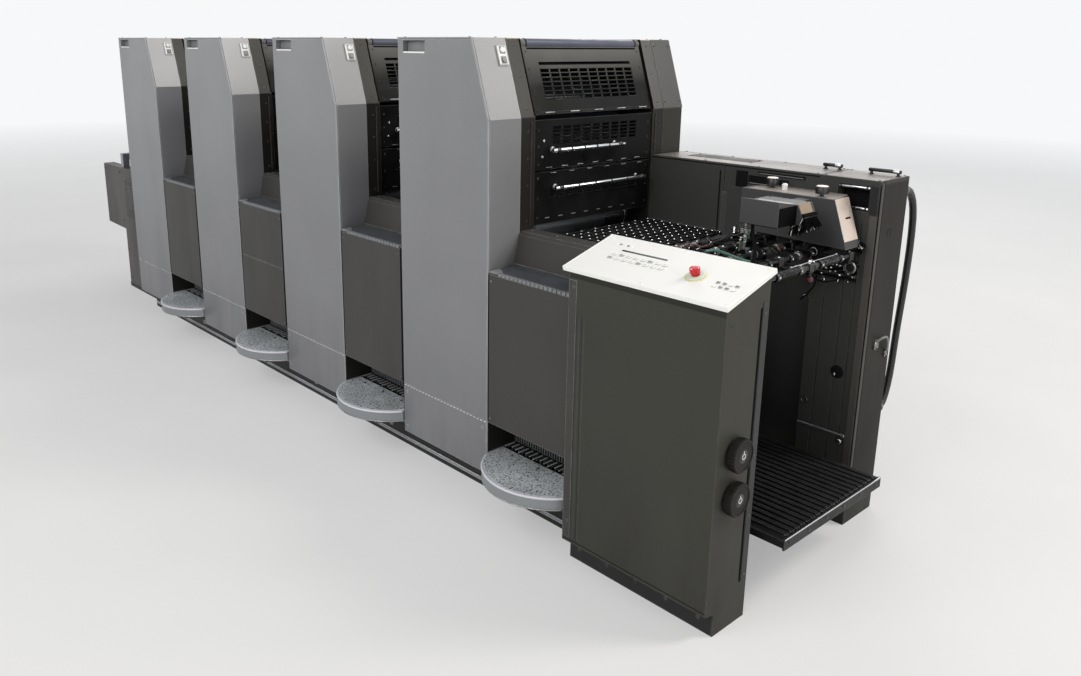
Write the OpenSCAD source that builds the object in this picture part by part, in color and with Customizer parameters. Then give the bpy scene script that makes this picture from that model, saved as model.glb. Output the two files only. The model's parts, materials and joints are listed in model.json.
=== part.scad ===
// Sheet-fed offset printing press with four printing units in a row.
// The feeder is at -X and the delivery at +X. The operator's side faces -Y.
// The origin is on the floor, on the centre line between the side frames,
// midway along the row of printing units.

/* [Printing units] */
// Distance from one printing unit to the next
unit_pitch = 900; // [880:5:960]
// Width of a printing unit along the press
unit_w = 488; // [470:2:500]
// Height of a printing unit
unit_h = 1600; // [1580:5:1700]
// How far the slope at the top cuts back
slope_run = 84; // [70:1:100]
// Height of the slope at the top
slope_drop = 255; // [240:1:270]
// Chamfer round the front edges of the tower covers
edge_chamfer = 6; // [2:0.5:10]
// Height of the joint line between tower cover and kick panel
seam_z = 315; // [250:5:400]

/* [Side frames and base] */
// Clear width between the side frames
frame_gap = 620; // [600:2:680]
// Thickness of a side frame
frame_t = 64; // [50:1:75]
// Depth of the operator's tower covers
operator_depth = 141; // [120:1:180]
// Depth of the drive side tower covers
drive_depth = 117; // [100:1:150]
// Height of the base under the units
base_h = 120; // [100:1:135]
// How far the base stands back from the tower fronts
base_setback = 75; // [50:1:90]
// Gap between the base and the covers above it
cover_lift = 2; // [1:0.5:6]

/* [Covers between the units] */
// Bottom edge of the covers
infill_z = 318; // [290:1:340]
// Top front edge of the covers
infill_top = 850; // [800:1:860]
// Height of the upper step of the covers
infill_step = 108; // [80:1:115]
// Depth of the ledge in front of the upper step
ledge_depth = 112; // [90:1:125]
// Gap between a cover and the tower beside it
cover_gap = 2; // [1:0.5:5]

/* [Guards] */
// Side clearance of a guard to the side frame
guard_side_gap = 5; // [5:0.5:10]
// Depth of a guard's folded rim
guard_depth = 14; // [10:1:18]
// Sheet thickness of a guard
guard_sheet = 4; // [2:0.5:6]
// How far the guards lie behind the outline of the unit
guard_inset = 6; // [5:0.5:10]
// Radius of the rolled bar at the top of an ink guard
bar_r = 16; // [13:0.5:18]
// Radius of a guard's hinge pin
pin_r = 8; // [6:0.5:10]
// Running clearance of pins, shafts and rods
fit = 0.1; // [0.05:0.01:0.1]
// Radius of a guard's grip rail
rail_r = 7; // [5:0.5:9]
// How far a grip rail stands off its guard
rail_off = 28; // [24:1:34]

/* [Cylinders] */
// Radius of the plate and blanket cylinders
print_r = 90; // [84:0.5:92]
// Radius of the impression cylinders
impression_r = 170; // [160:0.5:174]
// Gap between neighbouring cylinders
cylinder_gap = 2; // [1:0.5:4]
// Depth of the impression cylinder axis below the top of the unit
impression_drop = 900; // [888:1:910]
// Height of the transfer drum axis
drum_z = 580; // [560:1:590]

/* [Footboards] */
// Radius of a footboard
foot_r = 228; // [215:1:240]
// How far a footboard reaches in front of the towers
foot_reach = 130; // [100:1:160]
// Height of the standing surface
foot_top = 205; // [180:1:230]
// Thickness of a footboard
foot_t = 48; // [36:1:56]

/* [Delivery] */
// Length of the delivery beyond the last unit
delivery_len = 895; // [880:1:930]
// Height of the drive side housing
housing_h = 1176; // [1140:1:1200]
// Outer face of the drive side housing from the centre line
housing_y = 515; // [505:1:530]
// Height of the pile board's top face
board_z = 238; // [225:1:260]
// Length of the pile board along the press
board_len = 485; // [460:1:505]
// Thickness of the pile board
board_t = 34; // [26:1:40]
// Radius of the two lifting rods
lift_rod_r = 14; // [12:0.5:16]
// Height of the cross rods above the console's front edge
rod_rise = 2; // [-4:1:8]
// Radius of the cross rods
rod_r = 9; // [6:0.5:12]
// Distance from the last unit to the end of the delivery head
head_reach = 812; // [800:1:820]

/* [Console] */
// Distance from the last unit to the console
console_x = 414; // [412:1:420]
// Width of the console
console_w = 536; // [510:1:550]
// How far the console stands in front of the towers
console_front = 50; // [30:1:70]
// Height of the console's front edge
console_h = 944; // [934:1:960]
// Tilt of the control panel
panel_tilt = 16.8; // [12:0.1:20]
// Length of the control panel up its slope
panel_len = 225; // [215:1:235]
// Thickness of the control panel
panel_t = 14; // [10:0.5:18]
// Radius of the two dials on the console's end
dial_r = 48; // [44:1:54]
// Travel of the emergency stop button
stop_travel = 5; // [3:0.5:7]

/* [Feeder] */
// Length of the feeder in front of the first unit
feeder_len = 881; // [860:1:960]
// Length of the lower part of the feeder
feeder_foot = 575; // [540:1:620]
// Height of the feeder's side frames
feeder_h = 792; // [780:1:830]
// Underside of the feeder's overhanging part
feeder_belly = 387; // [370:1:400]
// Height of the feeder's pile board
feeder_board_z = 190; // [180:1:240]

/* [Hidden] */
$fn = 64;
UNITS = [0 : 3];
GAPS = [0 : 2];

// Places across the press
y_in = frame_gap / 2;
y_out = y_in + frame_t;
y_front = -(y_out + operator_depth);
y_drive = y_out + drive_depth;
cover_z = base_h + cover_lift;

// Outline of a unit and its slope
top_w = unit_w - slope_run;
slope_a = atan(slope_run / slope_drop);
slope_len = norm([slope_run, slope_drop]);
slope_z = unit_h - slope_drop;
gap_w = unit_pitch - unit_w;
function unit_x(i) = (i - 1.5) * unit_pitch - unit_w / 2;
last_x = unit_x(3) + unit_w;
first_x = unit_x(0);

// Guards
guard_w = frame_gap - 2 * guard_side_gap;
pin_reach = 17;
pin_hole = pin_reach + 4;
bar_s = 14;
ink_end = slope_len - 8;
face_x = unit_w - guard_inset;
hinge_back = 8;
hinge_edge = 9;
plate_top = slope_z - 11;
guards_bottom = infill_top + 128;
guards_split = (plate_top + guards_bottom) / 2 + 6;
split_gap = 8;
plate_guard_l = plate_top - guards_split - split_gap / 2;
blanket_guard_l = guards_split - split_gap / 2 - guards_bottom;
plate_rail = plate_guard_l - 66;
blanket_rail = 56;
ink_axis = [
    top_w + bar_s * sin(slope_a) - bar_r * cos(slope_a),
    unit_h - bar_s * cos(slope_a) - bar_r * sin(slope_a)
];
plate_axis = [face_x - hinge_back, plate_top - hinge_edge];
blanket_axis = [face_x - hinge_back, guards_bottom + hinge_edge];

// Cylinders of a unit, as [x, z] from the unit's left edge
impression_at = [210, unit_h - impression_drop];
blanket_at = impression_at
    + (impression_r + print_r + cylinder_gap) * [sin(25), cos(25)];
plate_at = blanket_at + (2 * print_r + cylinder_gap) * [sin(8), cos(8)];
drum_at = [unit_w + gap_w / 2 + 4, drum_z];
drum_r = min(
    norm(drum_at - impression_at),
    norm(drum_at - impression_at - [unit_pitch, 0])
) - impression_r - cylinder_gap;
cylinder_l = frame_gap - 60;
journal_r = 34;
form_r = 26;
form_ring = print_r + form_r + cylinder_gap;
form_angles = [-70, -40, -10, 20];
// Rollers above the form rollers, as [angle, distance from the plate axis, radius]
distributor_r = 40;
distributor_ring = form_ring + form_r + distributor_r + cylinder_gap;
upper_rollers = [
    [-46, distributor_ring, distributor_r], [-12, distributor_ring, distributor_r],
    [-18.6, distributor_ring + 90, 44], [-39.8, distributor_ring + 92, 30],
    [3.3, distributor_ring + 60, 24], [-33.2, distributor_ring + 172, 34]
];

// Delivery
link_top = infill_top + 10;
step_top = infill_top + infill_step + 12;
delivery_x1 = last_x + delivery_len;
column_w = 200;
column_x = delivery_x1 - column_w;
column_y = housing_y - 10;
base_reach = delivery_len - 343;
base_x1 = last_x + base_reach;
grid_reach = console_x - 72;
grid_rise = 45;
grid_z = link_top + grid_rise;
grid_t = 26;
lift_y = 230;
beam_w = 50;
beam_z = link_top + 4;
beam_h = 40;
bush_r = lift_rod_r + 10;
bush_l = 80;
drum_clearance = 6;
lift_x = last_x + drum_at[0] - unit_w + drum_r + drum_clearance + bush_r;
board_x0 = lift_x + bush_r + 6;
board_w = frame_gap - 40;
rod_z = console_h + rod_rise;
rod_first = delivery_len - 445;
rod_pitch = 100;
collar_r = rod_r + 4;
frame_top = rod_z + 20;
head_x1 = last_x + head_reach;
head_z = rod_z + collar_r + 5;
head_top = head_z + 165;
head_front_y = [-115, -20];
head_mid_y = [-20, 60];
head_rear_y = [180, 268];
head_rear_l = 322;
head_beam = 40;
head_beam_x = head_x1 - 112;
head_beam_z = head_z + 112;
head_bracket_z = head_beam_z - 52;
handle_h = 14;
handle_y = y_in + 148;
pocket_x = delivery_x1 - 139;
pocket_l = 107;
pocket_h = 80;
pocket_top = housing_h - 19;

// Console and panel
console_x0 = last_x + console_x;
console_x1 = console_x0 + console_w;
console_y0 = y_front - console_front;
panel_over = 5;
panel_seal = 0.05;
panel_x0 = console_x0 - 20;
panel_w = console_w + 24;
panel_y0 = console_y0 - panel_over;
panel_z0 = console_h - panel_over * tan(panel_tilt) + panel_seal;
stop_at = [393, 103];
stop_hub_r = 9;
stop_seat = 4;
dial_y = console_y0 + 82;
dial_zs = [538, 411];
dial_t = 24;
dial_gap = 5;
dial_hub_r = 10;

// Feeder
feeder_x0 = first_x - feeder_len;
feeder_foot_x = first_x - feeder_foot;
skid_h = 28;
table_tilt = 8;
table_t = 16;

// Route of the cable on the drive side of the column, from its upper gland
// to its lower one
cable_r = 12;
cable_x = delivery_x1 - 19;
cable_top_z = housing_h - 47;
cable_low_z = cable_top_z - 759;
gland_r = 17;
gland_l = 14;
cable_route = [
    [0, 0, 0], [0, 22, -2], [0, 43, -10], [0, 61, -26], [0, 76, -47], [0, 87, -74],
    [0, 95, -108], [0, 99, -152], [0, 100, -207], [0, 98, -265], [0, 94, -325],
    [0, 88, -385], [0, 81, -445], [0, 75, -503], [0, 71, -558], [0, 68, -608],
    [0, 63, -655], [0, 55, -694], [0, 44, -726], [0, 31, -748], [0, 16, -758], [0, 0, -759]
];

// Extrudes an outline in the X-Z plane from y0 to y1
module along_y(y0, y1) {
    translate([0, y1, 0]) rotate([90, 0, 0]) linear_extrude(y1 - y0) children();
}

// Extrudes an outline in the Y-Z plane from x0 to x1
module along_x(x0, x1) {
    translate([x0, 0, 0]) rotate([90, 0, 90]) linear_extrude(x1 - x0) children();
}

// A box between two opposite corners
module block(a, b) {
    translate(a) cube(b - a);
}

// A round bar along Y between y0 and y1
module bar_y(x, z, r, y0, y1) {
    translate([x, y1, z]) rotate([90, 0, 0]) cylinder(r = r, h = y1 - y0);
}

// Moves to a unit
module at_unit(i) {
    translate([unit_x(i), 0, 0]) children();
}

// Local frame of the slope: X runs down it and Z points outwards
module on_slope() {
    translate([top_w, 0, unit_h]) rotate([0, 90 - slope_a, 0]) children();
}

// Local frame of the upright guards below height z: X runs down
module on_face(z) {
    translate([face_x, 0, z]) rotate([0, 90, 0]) children();
}

// Outline of a printing unit from height z0 up
function unit_outline(z0) = [
    [0, z0], [unit_w, z0], [unit_w, slope_z], [top_w, unit_h], [0, unit_h]
];

// The same outline set back by c along its edges, except at the bottom
function unit_inset(z0, c) = [
    [c, z0], [unit_w - c, z0], [unit_w - c, slope_z - c * tan(slope_a / 2)],
    [top_w - c * (1 - sin(slope_a)) / cos(slope_a), unit_h - c], [c, unit_h - c]
];

// Closed cover over one end of a unit, with its outer face at y_face and a
// chamfer round that face
module tower_shell(y_face, y_back) {
    s = sign(y_face);
    c = edge_chamfer;
    inner = y_face - s * c;
    difference() {
        hull() {
            along_y(min(inner, y_back), max(inner, y_back)) polygon(unit_outline(cover_z));
            along_y(min(y_face, inner), max(y_face, inner)) polygon(unit_inset(cover_z, c));
        }
        translate([-1, y_face - 3, seam_z]) cube([unit_w + 2, 6, 4]);
    }
}

// Length of the base, with a recess below its edge on the sides that show
module plinth(x0, x1, front, back, front_lip, back_lip) {
    along_x(x0, x1) polygon([
        [front + front_lip, 0], [back - back_lip, 0],
        [back - back_lip, base_h - 40], [back, base_h - 28], [back, base_h],
        [front, base_h], [front, base_h - 28], [front + front_lip, base_h - 40]
    ]);
}

// The base narrows beside the console, which stands on the floor
module base_plinth() color("#161617") {
    back = y_drive - base_setback;
    narrow_x = console_x0 - 10;
    plinth(first_x, narrow_x, y_front + base_setback, back, 12, 12);
    plinth(narrow_x - 1, base_x1, -y_out + 2, back, 12, 12);
}

// One side frame of a unit, with the bearings of the guards' hinge pins
module side_frame(inner, outer) {
    side = sign(inner);
    difference() {
        along_y(min(inner, outer), max(inner, outer)) polygon(unit_outline(base_h));
        for (a = [ink_axis, plate_axis, blanket_axis])
            translate([a[0], inner - side, a[1]])
                rotate([-90 * side, 0, 0]) cylinder(r = pin_r + fit, h = pin_hole + 1);
    }
}

module side_frames() color("#3b3a39") {
    for (i = UNITS) at_unit(i) {
        side_frame(-y_in, -y_out);
        side_frame(y_in, y_out);
    }
}

// Plates that join the side frames of neighbouring units, and one on the
// drive side that carries the delivery drum
module link_plates() color("#1d1d1e") {
    for (i = UNITS) at_unit(i) {
        block([unit_w, y_in, base_h], [unit_pitch, y_out, link_top]);
        if (i < 3) block([unit_w, -y_out, base_h], [unit_pitch, -y_in, link_top]);
    }
}

module operator_tower(i) color("#8b8b8e") at_unit(i) {
    grip_x = [34, 160];
    grip_z = [54, 10];
    difference() {
        tower_shell(y_front, -y_out);
        block([grip_x[0], y_front - 1, unit_h - grip_z[0]],
            [grip_x[1], y_front + 24, unit_h - grip_z[1]]);
    }
    block([grip_x[0], y_front, unit_h - grip_z[0] - 4],
        [grip_x[1], y_front + 5, unit_h - grip_z[0] + 3]);
    on_slope() {
        translate([26, -y_out - 50, -1]) cube([68, 42, 5]);
        for (s = [43, 76])
            translate([s, -y_out - 29, 0]) cylinder(r = 9, h = 9, $fn = 32);
    }
}

module drive_towers() color("#4a4a4b") {
    for (i = UNITS) at_unit(i) tower_shell(y_drive, y_out);
}

// Folded hood over the top and the feeder side of each unit
module unit_hoods() color("#232325") {
    t = 8;
    top_z = unit_h - 16;
    end_x = ink_axis[0] - bar_r - 10;
    for (i = UNITS) at_unit(i) difference() {
        along_y(-y_in, y_in) polygon([
            [t, link_top + 60], [2 * t, link_top + 60], [2 * t, top_z - 40],
            [50, top_z - t], [end_x, top_z - t], [end_x, top_z],
            [46, top_z], [t, top_z - 38]
        ]);
        for (row = [0 : 5], col = [-3 : 3])
            translate([0, col * 74 - 27, 1380 - row * 24]) cube([3 * t, 54, 9]);
    }
}

// Folded tray: X runs down from 0, Z is the outer face
module guard_tray(l) {
    difference() {
        translate([0, -guard_w / 2, -guard_depth]) cube([l, guard_w, guard_depth]);
        translate([guard_sheet, -guard_w / 2 + guard_sheet, -guard_depth - 1])
            cube([l - 2 * guard_sheet, guard_w - 2 * guard_sheet,
                guard_depth - guard_sheet + 1]);
    }
}

// Rows of long slots through a guard, from x0 down as far as x1
module slot_rows(x0, x1, pitch, cols, col_pitch, slot_l, slot_h) {
    rows = floor((x1 - x0) / pitch);
    for (r = [0 : 1 : rows - 1], c = [0 : cols - 1])
        translate([x0 + r * pitch, (c - (cols - 1) / 2) * col_pitch - slot_l / 2, -50])
            cube([slot_h, slot_l, 60]);
}

// Hinge pin along Y through both ends of a guard
module hinge_pin(r_body) {
    rotate([90, 0, 0]) cylinder(r = pin_r, h = guard_w + 2 * pin_reach, center = true);
    rotate([90, 0, 0]) cylinder(r = r_body, h = guard_w, center = true);
}

// Grip rail on two posts
module grip_rail(x, y0, y1) {
    translate([x, y1, rail_off]) rotate([90, 0, 0]) cylinder(r = rail_r, h = y1 - y0);
    for (y = [y0 + 22, y1 - 22])
        translate([x, y, -1]) cylinder(r = rail_r - 1, h = rail_off + 1, $fn = 32);
}

module ink_guard(i) color("#2d2d2f") at_unit(i) on_slope() {
    difference() {
        translate([bar_s, 0, -guard_inset]) guard_tray(ink_end - bar_s);
        translate([80, -238, -50]) cube([9, 474, 60]);
        slot_rows(106, ink_end - 45, 15.5, 10, 48, 42, 9);
        translate([bar_s, 0, -bar_r]) rotate([90, 0, 0])
            cylinder(r = bar_r - 1, h = guard_w + 2, center = true);
    }
    translate([bar_s, 0, -bar_r]) hinge_pin(bar_r);
}

module plate_guard(i) color("#1e1f20") at_unit(i) on_face(plate_top) {
    difference() {
        guard_tray(plate_guard_l);
        slot_rows(26, plate_rail - 12, 12.5, 9, 50, 40, 6.5);
        translate([hinge_edge, 0, -hinge_back]) rotate([90, 0, 0])
            cylinder(r = pin_r - 1, h = guard_w + 2, center = true);
    }
    translate([hinge_edge, 0, -hinge_back]) hinge_pin(pin_r);
    grip_rail(plate_rail, -242, 121);
}

module blanket_guard(i) color("#1e1f20") at_unit(i) on_face(guards_bottom + blanket_guard_l) {
    hinge_x = blanket_guard_l - hinge_edge;
    slot_x = blanket_rail + (hinge_x - blanket_rail) * 0.23;
    difference() {
        guard_tray(blanket_guard_l);
        slot_rows(slot_x, slot_x + 12, 12, 10, 48, 34, 6);
        translate([hinge_x, 0, -hinge_back]) rotate([90, 0, 0])
            cylinder(r = pin_r - 1, h = guard_w + 2, center = true);
    }
    translate([hinge_x, 0, -hinge_back]) hinge_pin(pin_r);
    grip_rail(blanket_rail, -226, 251);
}

// Cylinder between the side frames, with journals, bearer rings and the
// channel that holds the ends of a plate or blanket
module press_cylinder(at, r, channel_a) {
    difference() {
        bar_y(at[0], at[1], r, -cylinder_l / 2, cylinder_l / 2);
        translate([at[0], 0, at[1]]) rotate([0, channel_a, 0])
            translate([-14, -cylinder_l / 2 + 20, r - 12]) cube([28, cylinder_l - 40, 20]);
        for (y = [-1, 1])
            translate([at[0], y * (cylinder_l / 2 - 18), at[1]]) rotate([90, 0, 0])
                difference() {
                    cylinder(r = r + 1, h = 4, center = true);
                    cylinder(r = r - 2, h = 6, center = true);
                }
    }
    for (s = [-1, 1])
        bar_y(at[0], at[1], journal_r,
            min(s * cylinder_l / 2, s * y_in), max(s * cylinder_l / 2, s * y_in));
}

module printing_cylinders() color("#b9bcc0") {
    for (i = UNITS) at_unit(i) {
        press_cylinder(impression_at, impression_r, -60);
        press_cylinder(blanket_at, print_r, -100);
        press_cylinder(plate_at, print_r, -120);
    }
}

// Roller with its spindle, at an angle and distance from the plate axis
module roller(angle, ring, r) {
    x = plate_at[0] + ring * sin(angle);
    z = plate_at[1] + ring * cos(angle);
    bar_y(x, z, r, -cylinder_l / 2, cylinder_l / 2);
    bar_y(x, z, 9, -y_in, y_in);
}

module ink_rollers() color("#27313a") {
    for (i = UNITS) at_unit(i) {
        for (a = form_angles) roller(a, form_ring, form_r);
        for (u = upper_rollers) roller(u[0], u[1], u[2]);
    }
}

module transfer_drums() color("#a5a9ad") {
    for (i = UNITS) at_unit(i) press_cylinder(drum_at, drum_r, 70);
}

// Covers over the transfer drums, with rounded treads
module gap_covers() color("#19191a") {
    t = 6;
    top = link_top + 72;
    leg = 60;
    for (i = GAPS) at_unit(i) {
        along_x(unit_w + cover_gap, unit_pitch - cover_gap) polygon([
            [-y_in, link_top - leg], [-y_in + t, link_top - leg],
            [-y_in + t, top - t], [y_in - t, top - t],
            [y_in - t, link_top - leg], [y_in, link_top - leg], [y_in, top], [-y_in, top]
        ]);
        for (k = [1 : 6])
            bar_y(unit_w + k * gap_w / 7, top, 4, -y_in + 20, y_in - 20);
    }
}

// Outline of a cover beside the towers, in the Y-Z plane, for the side whose
// outer face is at y_face and whose plate lies between y_plate and y_inner
function infill_outline(y_face, y_plate, y_inner) =
    let (s = sign(y_face), d = ledge_depth)
    [
        [y_face, infill_z], [y_face, infill_top - 6], [y_face - s * 6, infill_top],
        [y_face - s * d, infill_top + 8],
        [y_face - s * (d + 24), infill_top + infill_step],
        [y_face - s * (d + 34), step_top],
        [y_inner, step_top], [y_inner, link_top], [y_plate, link_top], [y_plate, infill_z]
    ];

module operator_cover_between(x0, x1) {
    along_x(x0, x1) polygon(infill_outline(y_front, -y_out, -y_in));
}

module infill_covers() color("#4c4b48") {
    for (i = GAPS) at_unit(i) {
        difference() {
            operator_cover_between(unit_w + cover_gap, unit_pitch - cover_gap);
            if (i == 1) translate([unit_w, y_front - 3, 590]) cube([gap_w, 6, 4]);
        }
        along_x(unit_w + cover_gap, unit_pitch - cover_gap) polygon([
            [y_drive, infill_z], [y_drive, infill_top - 6], [y_drive - 6, infill_top],
            [y_out + 12, infill_top + 8], [y_out - 8, infill_top + infill_step],
            [y_out - 16, step_top], [y_in, step_top], [y_in, link_top],
            [y_out, link_top], [y_out, infill_z]
        ]);
    }
}

// Round-fronted step between two towers, with a slightly smaller top sheet
module footboard(x0, x1) {
    back = -y_out;
    centre = [(x0 + x1) / 2, y_front - foot_reach + foot_r];
    clear = 3;
    intersection() {
        union() {
            translate([centre[0], centre[1], foot_top - foot_t])
                cylinder(r = foot_r, h = foot_t - 6, $fn = 96);
            translate([centre[0], centre[1], foot_top - foot_t])
                cylinder(r = foot_r - 4, h = foot_t, $fn = 96);
        }
        block([x0 + clear, y_front - foot_reach - 1, 0], [x1 - clear, back, foot_top + 1]);
    }
}

module footboards() color("#b7babd") {
    for (i = GAPS) at_unit(i) footboard(unit_w, unit_pitch);
    at_unit(3) footboard(unit_w, unit_w + console_x);
}

module delivery_front_cover() color("#4c4b48") {
    operator_cover_between(last_x + cover_gap, console_x0 - 8);
}

// Operator's side plate of the delivery, which carries the console
module delivery_operator_frame() color("#1b1b1c") {
    x = last_x;
    along_y(-y_out, -y_in) polygon([
        [x, base_h], [x, link_top], [console_x0 - 4, link_top],
        [console_x0 - 4, frame_top], [delivery_x1, frame_top], [delivery_x1, 0],
        [base_x1, 0], [base_x1, base_h]
    ]);
}

// Lifting handle on two posts, on top of the housing
module lift_handle(x, l) {
    translate([x, handle_y, housing_h - 1]) {
        for (dx = [8, l - 8])
            translate([dx, 0, 0]) cylinder(r = 4, h = handle_h, $fn = 32);
        translate([0, 0, handle_h + 1]) rotate([0, 90, 0]) cylinder(r = 5, h = l, $fn = 32);
    }
}

// Closed housing of the gear side along the delivery
module delivery_housing() color("#2f312f") {
    x0 = last_x + cover_gap;
    proud_x = last_x + grid_reach + 8;
    proud_w = 82;
    difference() {
        union() {
            along_x(x0, column_x) polygon([
                [y_in, link_top], [y_out, link_top], [y_out, cover_z], [housing_y, cover_z],
                [housing_y, housing_h - 8], [housing_y - 8, housing_h],
                [y_in + 8, housing_h], [y_in, housing_h - 8]
            ]);
            block([proud_x, y_in - 8, link_top + 40], [proud_x + proud_w, y_in + 4, housing_h - 75]);
        }
        block([proud_x - 20, y_in - 1, link_top + 1], [proud_x - 16, y_in + 3, housing_h + 1]);
        for (x = [last_x + 232, last_x + 464])
            block([x, housing_y - 3, cover_z - 1], [x + 4, housing_y + 1, housing_h + 1]);
        block([x0 - 1, housing_y - 3, infill_top], [column_x + 1, housing_y + 1, infill_top + 4]);
    }
    lift_handle(column_x - 72, 66);
}

// End column of the gear side, down to the floor, with a pocket for two
// guide rods at its top
module delivery_column() color("#34332f") {
    pocket_z = pocket_top - pocket_h;
    hole_z = pocket_z - 72;
    difference() {
        block([column_x, y_in, 0], [delivery_x1, column_y, housing_h]);
        block([pocket_x, y_in - 1, pocket_z], [pocket_x + pocket_l, y_in + 46, pocket_top]);
        for (x = [48, 110, 150])
            block([column_x + x, y_in - 1, 40], [column_x + x + 5, y_in + 4, pocket_z - 36]);
        translate([delivery_x1 - 30, y_in + 89, hole_z]) rotate([0, 90, 0])
            cylinder(r = 11, h = 40);
        block([delivery_x1 - 4, y_in + 26, 60], [delivery_x1 + 1, y_in + 30, housing_h + 1]);
    }
    for (z = [pocket_top - 7, pocket_z + 6])
        translate([pocket_x - 1, y_in + 8, z]) rotate([0, 90, 0])
            cylinder(r = 5, h = pocket_l + 2, $fn = 32);
    for (z = [cable_top_z, cable_low_z])
        translate([cable_x, column_y, z]) rotate([-90, 0, 0])
            cylinder(r = gland_r, h = gland_l);
    lift_handle(delivery_x1 - 112, 104);
}

// Grid of bars over the delivery drum
module delivery_grid() color("#141415") {
    x0 = last_x + cover_gap;
    x1 = last_x + grid_reach;
    bars_x = 9;
    bars_y = 16;
    pitch_x = (x1 - x0) / bars_x;
    pitch_y = (2 * y_in - 24) / bars_y;
    difference() {
        block([x0, -y_in, grid_z], [x1, y_in, grid_z + grid_t]);
        for (a = [0 : bars_x - 1], b = [0 : bars_y - 1])
            translate([x0 + (a + 0.5) * pitch_x, -y_in + 12 + (b + 0.5) * pitch_y, grid_z - 1])
                translate([-pitch_x * 0.36, -pitch_y * 0.36, 0])
                    cube([pitch_x * 0.72, pitch_y * 0.72, grid_t + 2]);
    }
}

// Cross rods over the pile, with their collars
module delivery_rods() color("#c9ccd0") {
    for (k = [0 : 4]) {
        x = last_x + rod_first + k * rod_pitch;
        bar_y(x, rod_z, rod_r, -y_in, y_in);
        for (y = [-180, -60, 60, 180])
            bar_y(x, rod_z, collar_r, y - 9, y + 9);
    }
}

// Clamp knob on a thin neck
module clamp_knob(r, h) {
    cylinder(r = r / 3, h = h / 3 + 1);
    translate([0, 0, h / 3]) cylinder(r = r, h = h * 2 / 3);
}

// Front part of the delivery head: a hood open at its underside and a shorter
// sloped part beside it
module delivery_head_front() color("#57575a") {
    x1 = head_x1;
    y = head_front_y;
    difference() {
        union() {
            along_x(x1 - 135, x1 - 9) polygon([
                [y[0], head_top - 58], [y[0], head_top + 16],
                [y[1] + 1, head_top], [y[1] + 1, head_top - 58]
            ]);
            along_y(head_mid_y[0], head_mid_y[1]) polygon([
                [x1 - 150, head_top - 60], [x1 + 6, head_top - 60], [x1 + 14, head_top - 37],
                [x1 - 4, head_top], [x1 - 150, head_top]
            ]);
        }
        block([x1 - 136, y[0] + 8, head_top - 59], [x1 - 18, y[1] - 8, head_top - 18]);
    }
}

// Rear housing of the delivery head, on the cross beam that carries both
module delivery_head_rear() color("#57575a") {
    x1 = head_x1;
    y0 = head_rear_y[0];
    y1 = head_rear_y[1];
    top = head_top - 6;
    along_y(y0, y1) polygon([
        [x1 - head_rear_l, head_z + 22], [x1 + 56, head_z + 10], [x1 + 48, head_z + 32],
        [x1 + 4, top], [x1 - head_rear_l, top]
    ]);
    for (s = [[head_mid_y[1], y0 + 1, head_beam_z], [y1 - 1, y_in, head_bracket_z]])
        block([head_beam_x, s[0], s[2]], [head_beam_x + head_beam, s[1], s[2] + head_beam]);
    for (at = [[x1 - 252, y1 - 20], [x1 - 52, y0 + 24]])
        translate([at[0], at[1], top - 1]) clamp_knob(20, 34);
    translate([x1 - 202, y1 - 28, top - 1]) cylinder(r = 8, h = 18);
}

// Two lifting rods under a cross beam
module lift_frame() color("#8f9397") {
    block([lift_x - beam_w / 2, -y_in, beam_z], [lift_x + beam_w / 2, y_in, beam_z + beam_h]);
    for (y = [-lift_y, lift_y])
        translate([lift_x, y, base_h]) cylinder(r = lift_rod_r, h = beam_z - base_h + 1);
}

// Ribbed pile board with the two bushings of its lift
module delivery_pile_board() color("#121213") {
    rib_pitch = 29;
    ribs = floor((board_w - 20) / rib_pitch);
    z0 = board_z - board_t;
    block([board_x0, -board_w / 2, z0], [board_x0 + board_len, board_w / 2, board_z - 10]);
    for (k = [0 : ribs - 1])
        translate([board_x0, (k - (ribs - 1) / 2) * rib_pitch - 7, board_z - 11])
            cube([board_len - 8, 14, 11]);
    block([board_x0 + board_len - 6, -board_w / 2, z0 - 6],
        [board_x0 + board_len, board_w / 2, board_z - 6]);
    for (y = [-lift_y, lift_y]) {
        difference() {
            union() {
                translate([lift_x, y, z0 - 6]) cylinder(r = bush_r, h = bush_l);
                block([lift_x, y - 18, z0], [board_x0 + 30, y + 18, board_z - 10]);
            }
            translate([lift_x, y, z0 - 10]) cylinder(r = lift_rod_r + fit, h = bush_l + 10);
        }
    }
}

// Console body with the bearings of its two dials
module console_box() color("#454541") {
    toe = 40;
    y1 = -y_out;
    rise = (y1 - console_y0) * tan(panel_tilt);
    difference() {
        along_x(console_x0, console_x1) polygon([
            [console_y0 + toe, 0], [console_y0 + toe, 70], [console_y0, 78],
            [console_y0, console_h], [y1, console_h + rise], [y1, 0]
        ]);
        block([console_x1 - 4, y1 - 36, 120], [console_x1 + 1, y1 - 30, console_h - 20]);
        for (z = dial_zs)
            translate([console_x1 - 30, dial_y, z]) rotate([0, 90, 0])
                cylinder(r = dial_hub_r + fit, h = 40);
    }
    for (z = dial_zs)
        translate([console_x1 - 1, dial_y, z]) rotate([0, 90, 0])
            difference() {
                cylinder(r = 24, h = dial_gap - 0.5 + 1);
                translate([0, 0, -1]) cylinder(r = dial_hub_r + fit, h = dial_gap + 3);
            }
}

// Local frame of the control panel: X along the press, Y up its slope
module on_panel() {
    translate([panel_x0, panel_y0, panel_z0]) rotate([panel_tilt, 0, 0]) children();
}

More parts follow.
